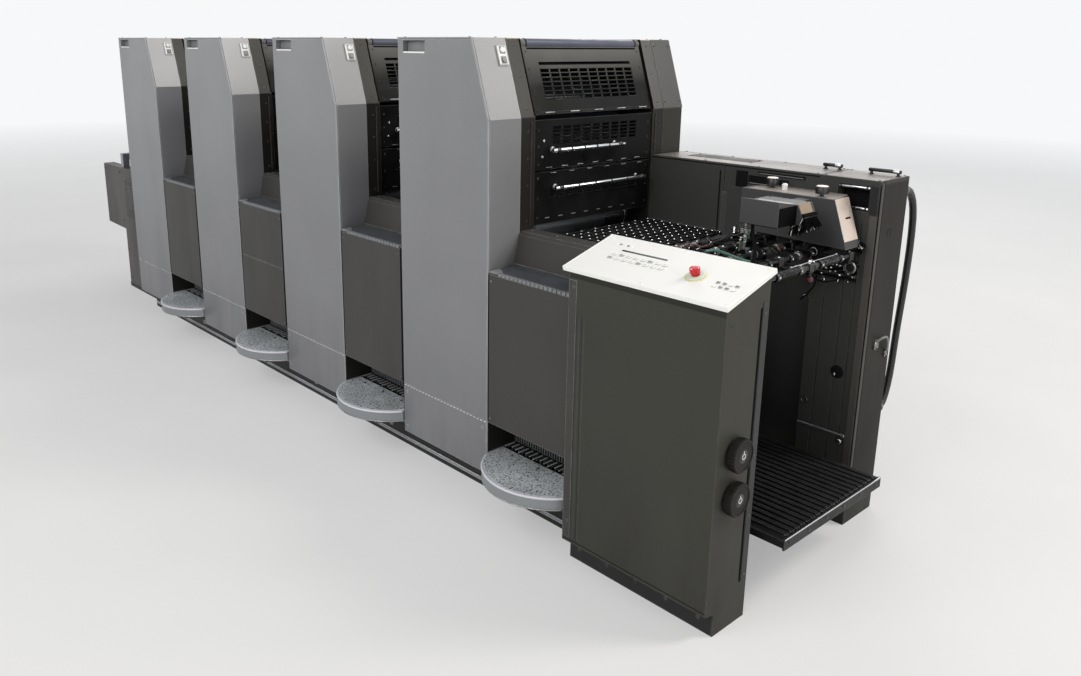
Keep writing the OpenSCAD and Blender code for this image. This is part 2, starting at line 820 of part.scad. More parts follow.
module control_panel() color("#e4e5e6") on_panel() {
    difference() {
        cube([panel_w, panel_len, panel_t]);
        translate([103, 146, panel_t - 2]) cube([162, 6, 3]);
        translate([stop_at[0], stop_at[1], -1])
            cylinder(r = stop_hub_r + fit, h = panel_t + 2);
    }
    for (c = [0 : 7], r = [0 : 1])
        translate([90 + c * 26, 94 + r * 22, panel_t - 1]) cube([15, 9, 2.5]);
    for (c = [0 : 3], r = [0 : 1])
        translate([462 + c * 19, 74 + r * 20, panel_t - 1]) cube([11, 9, 2.5]);
    translate([stop_at[0], stop_at[1], panel_t - 1]) difference() {
        cylinder(r = 26, h = stop_seat);
        translate([0, 0, -1]) cylinder(r = stop_hub_r + fit, h = stop_seat + 2);
    }
}

module emergency_stop() color("#c81d25") on_panel() {
    rise = panel_t + stop_seat - 1 + stop_travel + 2;
    translate([stop_at[0], stop_at[1], 0]) {
        translate([0, 0, 6]) cylinder(r = stop_hub_r, h = rise - 5);
        translate([0, 0, rise]) cylinder(r = 18, h = 13);
        translate([0, 0, rise + 13]) cylinder(r1 = 18, r2 = 14, h = 4);
    }
}

// Dial with a raised rim, a hub and its shaft
module console_dial(z) color("#1c1b1a") translate([console_x1, dial_y, z]) rotate([0, 90, 0]) {
    translate([0, 0, dial_gap]) difference() {
        cylinder(r = dial_r, h = dial_t);
        translate([0, 0, dial_t - 5]) cylinder(r = dial_r - 9, h = 6);
    }
    translate([0, 0, dial_gap + dial_t - 6]) cylinder(r = 20, h = 6);
    translate([0, 0, -24]) cylinder(r = dial_hub_r, h = dial_gap + 26);
}

// Ring of points round a point of the cable's route, which lies in the
// plane X = 0
function cable_ring(k, sides) =
    let (
        n = len(cable_route),
        before = cable_route[max(k - 1, 0)],
        after = cable_route[min(k + 1, n - 1)],
        end = k == 0 || k == n - 1,
        t = end ? [0, k == 0 ? 1 : -1, 0] : (after - before) / norm(after - before),
        u = [1, 0, 0],
        v = cross(t, u)
    )
    [for (a = [0 : sides - 1])
        cable_route[k] + cable_r * (cos(a * 360 / sides) * u + sin(a * 360 / sides) * v)];

module cable_run() color("#0e0e0f") {
    sides = 10;
    rings = len(cable_route);
    points = [for (k = [0 : rings - 1]) each cable_ring(k, sides)];
    walls = [for (k = [0 : rings - 2], a = [0 : sides - 1])
        [k * sides + a, k * sides + (a + 1) % sides,
            (k + 1) * sides + (a + 1) % sides, (k + 1) * sides + a]];
    first_end = [for (a = [sides - 1 : -1 : 0]) a];
    last_end = [for (a = [0 : sides - 1]) (rings - 1) * sides + a];
    translate([cable_x, column_y + gland_l, cable_top_z])
        polyhedron(points, concat([first_end], walls, [last_end]));
}

module feeder_side(y0, y1) {
    along_y(y0, y1) polygon([
        [feeder_foot_x, skid_h], [feeder_foot_x, feeder_belly], [feeder_x0, feeder_belly + 8],
        [feeder_x0, feeder_h - 10], [feeder_x0 + 10, feeder_h],
        [first_x, feeder_h], [first_x, skid_h]
    ]);
}

module feeder_sides() color("#504d4b") {
    feeder_side(-y_out, -y_in);
    feeder_side(y_in, y_out);
}

// Skids, cross members and the bars that carry the feeder's pile board
module feeder_frame() color("#1a1a1b") {
    for (s = [-1, 1])
        block([feeder_foot_x - 8, min(s * y_in, s * y_out), 0],
            [first_x, max(s * y_in, s * y_out), skid_h]);
    for (x = [feeder_foot_x + 20, first_x - 90])
        block([x, -y_in - 1, 0], [x + 60, y_in + 1, skid_h]);
    block([feeder_x0 + 20, -y_in, feeder_belly + 30], [feeder_x0 + 60, y_in, feeder_belly + 90]);
    for (y = [-180, 180]) {
        block([feeder_foot_x + 20, y - 20, skid_h - 1],
            [feeder_foot_x + 60, y + 20, feeder_board_z - 24]);
        block([first_x - 90, y - 20, skid_h - 1], [first_x - 50, y + 20, feeder_board_z - 24]);
    }
}

module feeder_pile_board() color("#8a6f4d") {
    x0 = feeder_foot_x - 56;
    x1 = first_x - 40;
    z = feeder_board_z;
    half = y_in - 40;
    slats = 9;
    pitch = (2 * half + 9) / slats;
    for (k = [0 : slats - 1])
        block([x0, -half + k * pitch, z - 12], [x1, -half + (k + 1) * pitch - 9, z]);
    for (x = [x0 + 40, (x0 + x1) / 2 - 20, x1 - 80])
        block([x, -half, z - 24], [x + 40, half, z - 11]);
}

// Sloped feed table with its side rails and conveyor tapes
module feed_table() color("#3d4043") {
    l = feeder_foot - 245;
    translate([first_x - 8, 0, feeder_h - 74]) rotate([0, table_tilt, 0])
        translate([-l, 0, 0]) {
            translate([0, -y_in, 0]) cube([l, 2 * y_in, table_t]);
            for (k = [-2 : 2])
                translate([0, k * frame_gap / 6 - 15, table_t - 1]) cube([l, 30, 3]);
            for (x = [0, l])
                translate([x, 0, table_t / 2]) rotate([90, 0, 0])
                    cylinder(r = 12, h = 2 * y_in - 40, center = true);
        }
}

// Suction head over the rear edge of the pile, on a cross beam
module suction_head() color("#6a6e72") {
    x = feeder_foot_x - 6;
    z = feeder_h;
    post_y = [y_in + 14, y_in + 54];
    half = frame_gap / 5 - 4;
    for (s = [-1, 1])
        block([x, min(s * post_y[0], s * post_y[1]), z],
            [x + 40, max(s * post_y[0], s * post_y[1]), z + 70]);
    block([x, -post_y[1], z + 50], [x + 40, post_y[1], z + 90]);
    difference() {
        block([x - 70, -half, z + 10], [x + 120, half, z + 110]);
        for (k = [-1 : 1])
            block([x - 71, k * half / 2 - 14, z + 30], [x - 60, k * half / 2 + 14, z + 90]);
    }
    for (k = [-3, -1, 1, 3], dx = [-45, 95])
        translate([x + dx, k * half / 3.8, z - 34]) {
            cylinder(r1 = 13, r2 = 8, h = 12, $fn = 32);
            translate([0, 0, 11]) cylinder(r = 6, h = 46, $fn = 32);
        }
}

base_plinth();
side_frames();
link_plates();
operator_tower(0);  // operator_tower_1
operator_tower(1);  // operator_tower_2
operator_tower(2);  // operator_tower_3
operator_tower(3);  // operator_tower_4
drive_towers();
unit_hoods();
ink_guard(0);  // ink_guard_1
ink_guard(1);  // ink_guard_2
ink_guard(2);  // ink_guard_3
ink_guard(3);  // ink_guard_4
plate_guard(0);  // plate_guard_1
plate_guard(1);  // plate_guard_2
plate_guard(2);  // plate_guard_3
plate_guard(3);  // plate_guard_4
blanket_guard(0);  // blanket_guard_1
blanket_guard(1);  // blanket_guard_2
blanket_guard(2);  // blanket_guard_3
blanket_guard(3);  // blanket_guard_4
printing_cylinders();
ink_rollers();
transfer_drums();
gap_covers();
infill_covers();
footboards();
delivery_front_cover();
delivery_operator_frame();
delivery_housing();
delivery_column();
delivery_grid();
delivery_rods();
delivery_head_front();
delivery_head_rear();
lift_frame();
delivery_pile_board();
console_box();
control_panel();
emergency_stop();
console_dial(dial_zs[0]);  // console_dial_upper
console_dial(dial_zs[1]);  // console_dial_lower
cable_run();
feeder_sides();
feeder_frame();
feed_table();
feeder_pile_board();
suction_head();
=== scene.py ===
"""Four-unit offset printing press: finishes, fittings, light and camera.

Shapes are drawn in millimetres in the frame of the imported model, and become
metres when a piece is made.
"""
import json
import math

import bmesh
import bpy
from mathutils import Matrix, Vector


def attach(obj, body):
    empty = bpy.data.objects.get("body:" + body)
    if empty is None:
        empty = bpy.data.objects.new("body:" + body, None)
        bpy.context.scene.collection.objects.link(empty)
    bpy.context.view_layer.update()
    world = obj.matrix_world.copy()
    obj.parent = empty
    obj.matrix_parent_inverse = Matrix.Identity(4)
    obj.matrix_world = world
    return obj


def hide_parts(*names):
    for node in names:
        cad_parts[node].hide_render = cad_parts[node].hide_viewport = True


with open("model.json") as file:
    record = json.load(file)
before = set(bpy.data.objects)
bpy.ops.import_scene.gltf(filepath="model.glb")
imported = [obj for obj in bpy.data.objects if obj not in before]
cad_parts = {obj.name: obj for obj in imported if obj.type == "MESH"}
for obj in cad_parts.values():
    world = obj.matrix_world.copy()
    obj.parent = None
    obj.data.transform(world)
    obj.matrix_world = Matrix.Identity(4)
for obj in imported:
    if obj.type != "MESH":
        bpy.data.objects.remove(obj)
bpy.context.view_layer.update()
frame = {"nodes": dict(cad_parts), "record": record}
MM = 0.001


# Camera, at the place and angle from which the photograph was taken

FOCAL_PX = 526.4          # focal length in pixels of the photograph
VIEW_W_PX = 640           # width of the part of the photograph that is covered
CENTRE_PX = (300, 232)    # centre of that part
AXIS_PX = (272.7, 191.8)  # where the lens axis meets the photograph
SENSOR = 36
PAN, TILT, ROLL = math.radians(48.16), math.radians(75.78), 0.0072

data = bpy.data.cameras.new("camera")
camera = bpy.data.objects.new("camera", data)
bpy.context.scene.collection.objects.link(camera)
bpy.context.scene.camera = camera
camera.location = (3.724, -2.394, 1.577)
turned = Matrix.Identity(3)
for angle, axis in ((PAN, "Z"), (TILT, "X"), (ROLL, "Z")):
    turned = turned @ Matrix.Rotation(angle, 3, axis)
camera.rotation_euler = turned.to_euler()
data.sensor_width = SENSOR
data.lens = SENSOR * FOCAL_PX / VIEW_W_PX
data.shift_x = (CENTRE_PX[0] - AXIS_PX[0]) / VIEW_W_PX
data.shift_y = (AXIS_PX[1] - CENTRE_PX[1]) / VIEW_W_PX
data.clip_start = 0.05
data.clip_end = 200


# Colours and node trees of the finishes

def srgb(red, green, blue):
    """A colour written as 0 to 255, as the shader takes it."""
    linear = [(c / 255 / 12.92) if c <= 10 else ((c / 255 + 0.055) / 1.055) ** 2.4
              for c in (red, green, blue)]
    return (*linear, 1)


def scaled(colour, factor):
    """A colour made darker or brighter."""
    return (*[min(1, c * factor) for c in colour[:3]], 1)


class Tree:
    """Node tree with short calls for the nodes that are used here."""

    def __init__(self, tree):
        self.tree = tree

    def feed(self, node, inputs):
        """Sets a node's inputs to values, or links them to sockets."""
        for name, source in inputs.items():
            if isinstance(source, (int, float, tuple)):
                node.inputs[name].default_value = source
            else:
                self.tree.links.new(source, node.inputs[name])

    def node(self, kind, inputs=None, **settings):
        made = self.tree.nodes.new("ShaderNode" + kind)
        for name, value in settings.items():
            setattr(made, name, value)
        self.feed(made, inputs or {})
        return made

    def spread(self, value, low, high, to_low=0.0, to_high=1.0):
        """Maps a value from one range to another, clamped."""
        return self.node("MapRange", {"Value": value, "From Min": low, "From Max": high,
                                      "To Min": to_low, "To Max": to_high}).outputs["Result"]

    def maths(self, operation, a, b):
        return self.node("Math", {0: a, 1: b}, operation=operation, use_clamp=True).outputs[0]

    def mix(self, factor, a, b):
        return self.node("MixRGB", {"Fac": factor, "Color1": a, "Color2": b}).outputs["Color"]

    def seen(self):
        """1 for rays from the camera and for reflected and refracted ones."""
        rays = self.node("LightPath").outputs
        mirrored = self.maths("MAXIMUM", rays["Is Glossy Ray"], rays["Is Transmission Ray"])
        return self.maths("MAXIMUM", rays["Is Camera Ray"], mirrored)


class Finish(Tree):
    """A procedural material on a principled shader."""

    def __init__(self, name, roughness=0.5, metallic=0.0, specular=0.5, coat=0.0):
        self.material = bpy.data.materials.new(name)
        self.material.use_nodes = True
        super().__init__(self.material.node_tree)
        self.shader = self.tree.nodes["Principled BSDF"]
        self.feed(self.shader, {"Roughness": roughness, "Metallic": metallic,
                                "Specular IOR Level": specular, "Coat Weight": coat,
                                "Coat Roughness": 0.24})
        self.place = self.node("TexCoord").outputs["Object"]

    def noise(self, scale, detail=3, rough=0.55, stretch=None):
        """Noise over the object's coordinates in metres, which may be stretched."""
        place = self.place
        if stretch:
            place = self.node("Mapping", {"Vector": place,
                                          "Scale": tuple(stretch)}).outputs["Vector"]
        return self.node("TexNoise", {"Scale": scale, "Detail": detail, "Roughness": rough,
                                      "Vector": place}).outputs["Fac"]

    def edges(self, radius, low=0.004, high=0.09):
        """High along sharp edges, where a rounded normal differs from the real one."""
        rounded = self.node("Bevel", {"Radius": radius}, samples=4).outputs["Normal"]
        real = self.node("NewGeometry").outputs["Normal"]
        dot = self.node("VectorMath", {0: rounded, 1: real}, operation="DOT_PRODUCT")
        return self.spread(dot.outputs["Value"], 1 - low, 1 - high)

    def upward(self, vector):
        """The vertical part of a vector."""
        return self.node("SeparateXYZ", {0: vector}).outputs["Z"]

    def by_height(self, start, end, most=1.0):
        """Grows from 0 to the most between two heights in metres."""
        return self.spread(self.upward(self.place), start, end, 0, most)

    def mottle(self, value, low, high, colour, dark, bright):
        """A colour that varies between two shades of itself."""
        return self.mix(self.spread(value, low, high), scaled(colour, dark),
                        scaled(colour, bright))

    def colour(self, source):
        self.feed(self.shader, {"Base Color": source})

    def roughness(self, value, low, high):
        self.feed(self.shader, {"Roughness": self.spread(value, 0.3, 0.7, low, high)})

    def bump(self, height, distance, strength, rounding):
        """Fine relief, and edges that are rounded by the given radius."""
        rounded = self.node("Bevel", {"Radius": rounding}, samples=4).outputs["Normal"]
        made = self.node("Bump", {"Distance": distance, "Strength": strength,
                                  "Height": height, "Normal": rounded})
        self.feed(self.shader, {"Normal": made.outputs["Normal"]})


def paint(name, colour, edge, roughness=0.42, specular=0.35, coat=0.0, shade=0.0):
    """Satin machine paint: orange peel, faint mottling, wiped smears, grime low
    down, painted shade that darkens it downward, and rubbed edges that are also
    a painted highlight."""
    f = Finish(name, roughness, 0.0, specular, coat)
    broad = f.noise(1.7, 4)
    smear = f.noise(5, 5, 0.65, (1, 1, 0.22))
    fine = f.noise(140, 2)
    tone = f.mottle(broad, 0.3, 0.7, colour, 0.9, 1.1)
    tone = f.mix(f.spread(smear, 0.52, 0.8, 0, 0.22), tone, scaled(colour, 0.72))
    tone = f.mix(f.spread(fine, 0.35, 0.75, 0, 0.16), tone, scaled(colour, 1.28))
    # Painted shade: the colour is darkened towards the bottom.
    if shade:
        tone = f.mix(f.by_height(1.6, 0.1, shade), tone, scaled(colour, 0.66))
    grime = f.maths("MULTIPLY", f.by_height(0.55, 0.0), f.spread(smear, 0.3, 0.7))
    tone = f.mix(f.maths("MULTIPLY", grime, 0.35), tone, srgb(34, 31, 28))
    # Wear and painted highlight: sharp edges lightened towards the edge colour.
    rub_and_highlight = f.maths("MULTIPLY", f.edges(0.004), f.spread(f.noise(24, 4), 0.34, 0.6, 0.25, 0.8))
    f.colour(f.mix(rub_and_highlight, tone, edge))
    f.roughness(smear, roughness - 0.07, roughness + 0.13)
    f.bump(f.noise(420, 2), 0.0006, 0.25, 0.0015)
    return f.material


def dark_metal(name, colour, edge, roughness=0.34, metallic=0.35, specular=0.5, painted_sheen=None):
    """Burnished dark coating with oil smears and bare, bright edges that are also a
    painted highlight, and a painted sheen that makes it paler high up where a
    sheen colour is given."""
    f = Finish(name, roughness, metallic, specular)
    smear = f.noise(7, 6, 0.68)
    tone = f.mottle(smear, 0.3, 0.72, colour, 0.6, 1.5)
    tone = f.mix(f.spread(f.noise(210), 0.5, 0.8, 0, 0.35), tone, scaled(colour, 2.1))
    # Painted sheen: paler towards the top of the guards.
    if painted_sheen:
        tone = f.mix(f.by_height(1.44, 1.59, 0.85), tone, painted_sheen)
    # Wear and painted highlight: sharp edges lightened towards the edge colour.
    rub_and_highlight = f.maths("MULTIPLY", f.edges(0.003), f.spread(f.noise(30, 4), 0.35, 0.6, 0.2, 0.9))
    f.colour(f.mix(rub_and_highlight, tone, edge))
    f.roughness(smear, roughness - 0.1, roughness + 0.2)
    f.bump(f.noise(600, 2), 0.0004, 0.3, 0.001)
    return f.material


def turned_steel(name, colour, roughness=0.24, along=(3, 500, 3)):
    """Ground or turned steel with fine rings round its axis and an oil film."""
    f = Finish(name, roughness, 1.0)
    rings = f.noise(1, 3, 0.7, along)
    film = f.noise(4, 5, 0.6)
    tone = f.mottle(rings, 0.3, 0.7, colour, 0.82, 1.1)
    f.colour(f.mix(f.spread(film, 0.5, 0.75, 0, 0.35), tone, scaled(colour, 0.5)))
    f.roughness(film, roughness - 0.06, roughness + 0.16)
    f.bump(rings, 0.00006, 0.5, 0.001)
    return f.material


def brushed(name, colour, roughness=0.36, along=(6, 500, 500)):
    """Brushed sheet metal."""
    f = Finish(name, roughness, 1.0)
    grain = f.noise(1, 4, 0.75, along)
    stain = f.noise(9, 5, 0.6)
    tone = f.mottle(grain, 0.3, 0.7, colour, 0.8, 1.15)
    f.colour(f.mix(f.spread(stain, 0.55, 0.8, 0, 0.4), tone, scaled(colour, 0.55)))
    f.roughness(stain, roughness - 0.08, roughness + 0.14)
    f.bump(grain, 0.00008, 0.5, 0.001)
    return f.material


def rubber(name, colour, roughness=0.62, sheen=0.15, specular=0.5):
    """Matt rubber with dust in its pores."""
    f = Finish(name, roughness, 0.0, specular)
    f.feed(f.shader, {"Sheen Weight": sheen})
    dust = f.noise(11, 5, 0.6)
    fine = f.noise(500, 2)
    tone = f.mottle(dust, 0.4, 0.75, colour, 1, 2.1)
    f.colour(f.mix(f.spread(fine, 0.55, 0.8, 0, 0.4), tone, scaled(colour, 3)))
    f.roughness(dust, roughness - 0.12, roughness + 0.1)
    f.bump(fine, 0.0003, 0.35, 0.001)
    return f.material


def plastic(name, colour, roughness=0.3, mark=0.86, specular=0.5):
    """Moulded plastic with faint handling marks."""
    f = Finish(name, roughness, 0.0, specular)
    broad = f.noise(13, 4)
    tone = f.mottle(broad, 0.35, 0.7, colour, 1, mark)
    f.colour(f.mix(f.spread(f.noise(260, 2), 0.6, 0.8, 0, 0.3), tone, scaled(colour, mark * 0.95)))
    f.roughness(broad, roughness - 0.06, roughness + 0.12)
    f.bump(f.noise(700, 2), 0.0002, 0.3, 0.0008)
    return f.material


def speckled(name, ground, spots):
    """Anti-slip aluminium tread: pale ground, dark chips of three sizes on its top,
    sides painted darker as painted shade, and worn bright on its rim."""
    f = Finish(name, 0.5, 0.25)
    broad = f.noise(6, 5, 0.6)
    tone = f.mottle(broad, 0.3, 0.7, ground, 0.72, 1.12)
    top = f.spread(f.upward(f.node("NewGeometry").outputs["Normal"]), 0.6, 0.9)
    for scale, size in ((62, 0.2), (110, 0.24), (210, 0.24)):
        dots = f.node("TexVoronoi", {"Scale": scale, "Vector": f.place}).outputs["Distance"]
        chips = f.maths("MULTIPLY", f.spread(dots, size, size + 0.07, 0.85, 0), top)
        tone = f.mix(chips, tone, spots)
    # Painted shade: the sides are painted darker than the top.
    tone = f.mix(top, scaled(ground, 0.4), tone)
    f.colour(f.mix(f.edges(0.006), tone, srgb(228, 231, 235)))
    f.roughness(broad, 0.38, 0.6)
    f.bump(f.noise(380, 2), 0.0006, 0.5, 0.0015)
    return f.material


def wood(name, colour):
    """Sawn pallet boards with grain along the press."""
    f = Finish(name, 0.75)
    grain = f.noise(1, 6, 0.7, (4, 60, 60))
    fibre = f.noise(1, 3, 0.6, (20, 700, 700))
    tone = f.mottle(grain, 0.3, 0.7, colour, 0.62, 1.18)
    f.colour(f.mix(f.spread(fibre, 0.5, 0.75, 0, 0.5), tone, scaled(colour, 0.5)))
    f.bump(fibre, 0.0008, 0.5, 0.001)
    return f.material


# Colour of rubbed edges, which is also a painted highlight.
RUB_AND_HIGHLIGHT_EDGE = (196, 198, 202)
LOOKS = {}
for make, rows in (
    (paint, {  # colour, rubbed edges that are also a painted highlight, roughness, specular, coat, painted shade
        "tower_grey": ((136, 137, 140), RUB_AND_HIGHLIGHT_EDGE, 0.38, 0.08, 0.65, 0.6),
        "frame_dark": ((38, 37, 35), (96, 94, 90), 0.42, 0.1, 0.1),
        "plinth_black": ((18, 18, 19), (82, 82, 84), 0.5),
        "cover_grey": ((67, 66, 64), (150, 152, 155), 0.42, 0.2),
        "drive_grey": ((52, 51, 47), (122, 120, 116), 0.4, 0.1, 0.1),
        "housing_dark": ((66, 67, 65), (92, 92, 90), 0.5, 0.06),
        "head_grey": ((72, 72, 73), (110, 108, 105), 0.42, 0.15),
        "console_paint": ((64, 64, 59), (96, 96, 90), 0.45, 0.12),
        "board_black": ((34, 34, 35), (110, 110, 112), 0.4, 0.2),
        "feeder_paint": ((72, 69, 67), (150, 148, 144), 0.45),
        "slope_paint": ((56, 53, 50), (120, 118, 114), 0.4, 0.2, 0.6),
        "console_dark": ((50, 50, 46), (60, 60, 56), 0.5, 0.06),
        "console_side": ((68, 68, 70), (96, 96, 96), 0.5, 0.1),
        "column_face": ((50, 48, 46), (72, 69, 66), 0.5, 0.05),
        "column_edge": ((84, 81, 79), (96, 92, 90), 0.5, 0.06),
        "top_brown": ((112, 105, 100), (128, 122, 118), 0.45, 0.3, 0.2),
        "head_top": ((154, 145, 139), (170, 164, 158), 0.4, 0.4, 0.3)}),
    (dark_metal, {  # colour, bare edges that are also a painted highlight, roughness, metallic, specular, painted sheen colour
        "guard_black": ((22, 22, 22), (104, 103, 101), 0.34, 0, 0.07, (122, 121, 118)),
        "screw_steel": ((120, 120, 122), (205, 205, 206), 0.3, 0.9),
        "screw_black": ((52, 51, 50), (120, 120, 120), 0.36, 0.7)}),
    (turned_steel, {  # colour, roughness, scale along each axis
        "cylinder_steel": ((188, 192, 196),),
        "rod_steel": ((58, 60, 63), 0.26),
        "bright_steel": ((214, 216, 219), 0.14, [120, 120, 120]),
        "spring_steel": ((150, 150, 152), 0.25, [200, 200, 200]),
        "brass": ((196, 160, 92), 0.26, [60, 60, 60])}),
    (brushed, {  # colour, roughness, scale along each axis
        "table_steel": ((120, 124, 128),),
        "head_aluminium": ((160, 163, 168), 0.4),
        "pale_plate": ((218, 204, 192), 0.5, [500, 500, 6]),
        "tan_plate": ((136, 120, 105), 0.55, [500, 500, 6])}),
    (rubber, {  # colour, roughness, sheen, specular
        "roller_rubber": ((30, 40, 50), 0.35),
        "cable_black": ((16, 16, 17), 0.45),
        "foam_black": ((12, 12, 13), 0.8, 0.0, 0.12),
        "jet": ((5, 5, 6), 0.6, 0, 0.03),
        "mat_grey": ((46, 49, 53), 0.7, 0.1, 0.2),
        "green_hose": ((62, 104, 90), 0.4),
        "blue_hose": ((48, 66, 96), 0.35),
        "bristle": ((196, 190, 178), 0.7),
        "tape_cloth": ((176, 168, 150), 0.8)}),
    (plastic, {  # colour, roughness, tone of the marks, specular
        "panel_white": ((249, 249, 246), 0.5, 0.995),
        "stop_red": ((208, 28, 38), 0.22),
        "stop_dark": ((74, 18, 22), 0.3),
        "dial_black": ((26, 24, 23), 0.4, 1.6, 0.12),
        "black_plastic": ((24, 24, 25), 0.34, 1.5),
        "grey_plastic": ((128, 130, 132), 0.36),
        "slate_sleeve": ((92, 96, 112), 0.36, 0.86, 0.25),
        "seam_pale": ((232, 234, 237), 0.4),
        "fold_pale": ((178, 180, 183), 0.4, 0.9, 0.3),
        "rim_pale": ((226, 225, 234), 0.3, 0.92),
        "pale_yellow": ((238, 230, 182), 0.35),
        "pale_green": ((222, 232, 214), 0.35),
        "screen": ((40, 52, 60), 0.12, 1.3)}),
    (speckled, {"footboard_aluminium": ((214, 219, 223), (40, 44, 48))}),
    (wood, {"pile_wood": ((176, 142, 100),)}),
):
    for name, values in rows.items():
        LOOKS[name] = make(name, *[srgb(*v) if isinstance(v, tuple) else v for v in values])

for part in frame["record"]["subparts"]:
    for slot in frame["nodes"][part["node"]].material_slots:
        slot.material = LOOKS[part["material_slot"]]


# Shapes

def axes(origin, x, z):
    """Local frame at a point, with its X and Z directions as given."""
    x, z = Vector(x).normalized(), Vector(z).normalized()
    made = Matrix((x, z.cross(x), z)).transposed().to_4x4()
    made.translation = Vector(origin)
    return made


def square_to(direction):
    """Two directions at right angles to a third, and that one, of length 1."""
    z = Vector(direction).normalized()
    x = z.cross(Vector((0, 0, 1) if abs(z[2]) < 0.9 else (1, 0, 0))).normalized()
    return x, z.cross(x), z


def circle(count, turn=0.0):
    """Cosine and sine of angles spread evenly round a circle."""
    angles = [turn + 2 * math.pi * k / count for k in range(count)]
    return [(math.cos(a), math.sin(a)) for a in angles]


def grid(*places):
    """Points at all combinations of their X, Y and Z, each one number or several."""
    xs, ys, zs = [p if isinstance(p, (tuple, range)) else (p,) for p in places]
    return [(x, y, z) for x in xs for y in ys for z in zs]


def collar(end_r, end_h, r, h):
    """Profile of a collar that is the same on both sides of its middle."""
    return [(end_r, -end_h), (r, -h), (r, h), (end_r, end_h)]


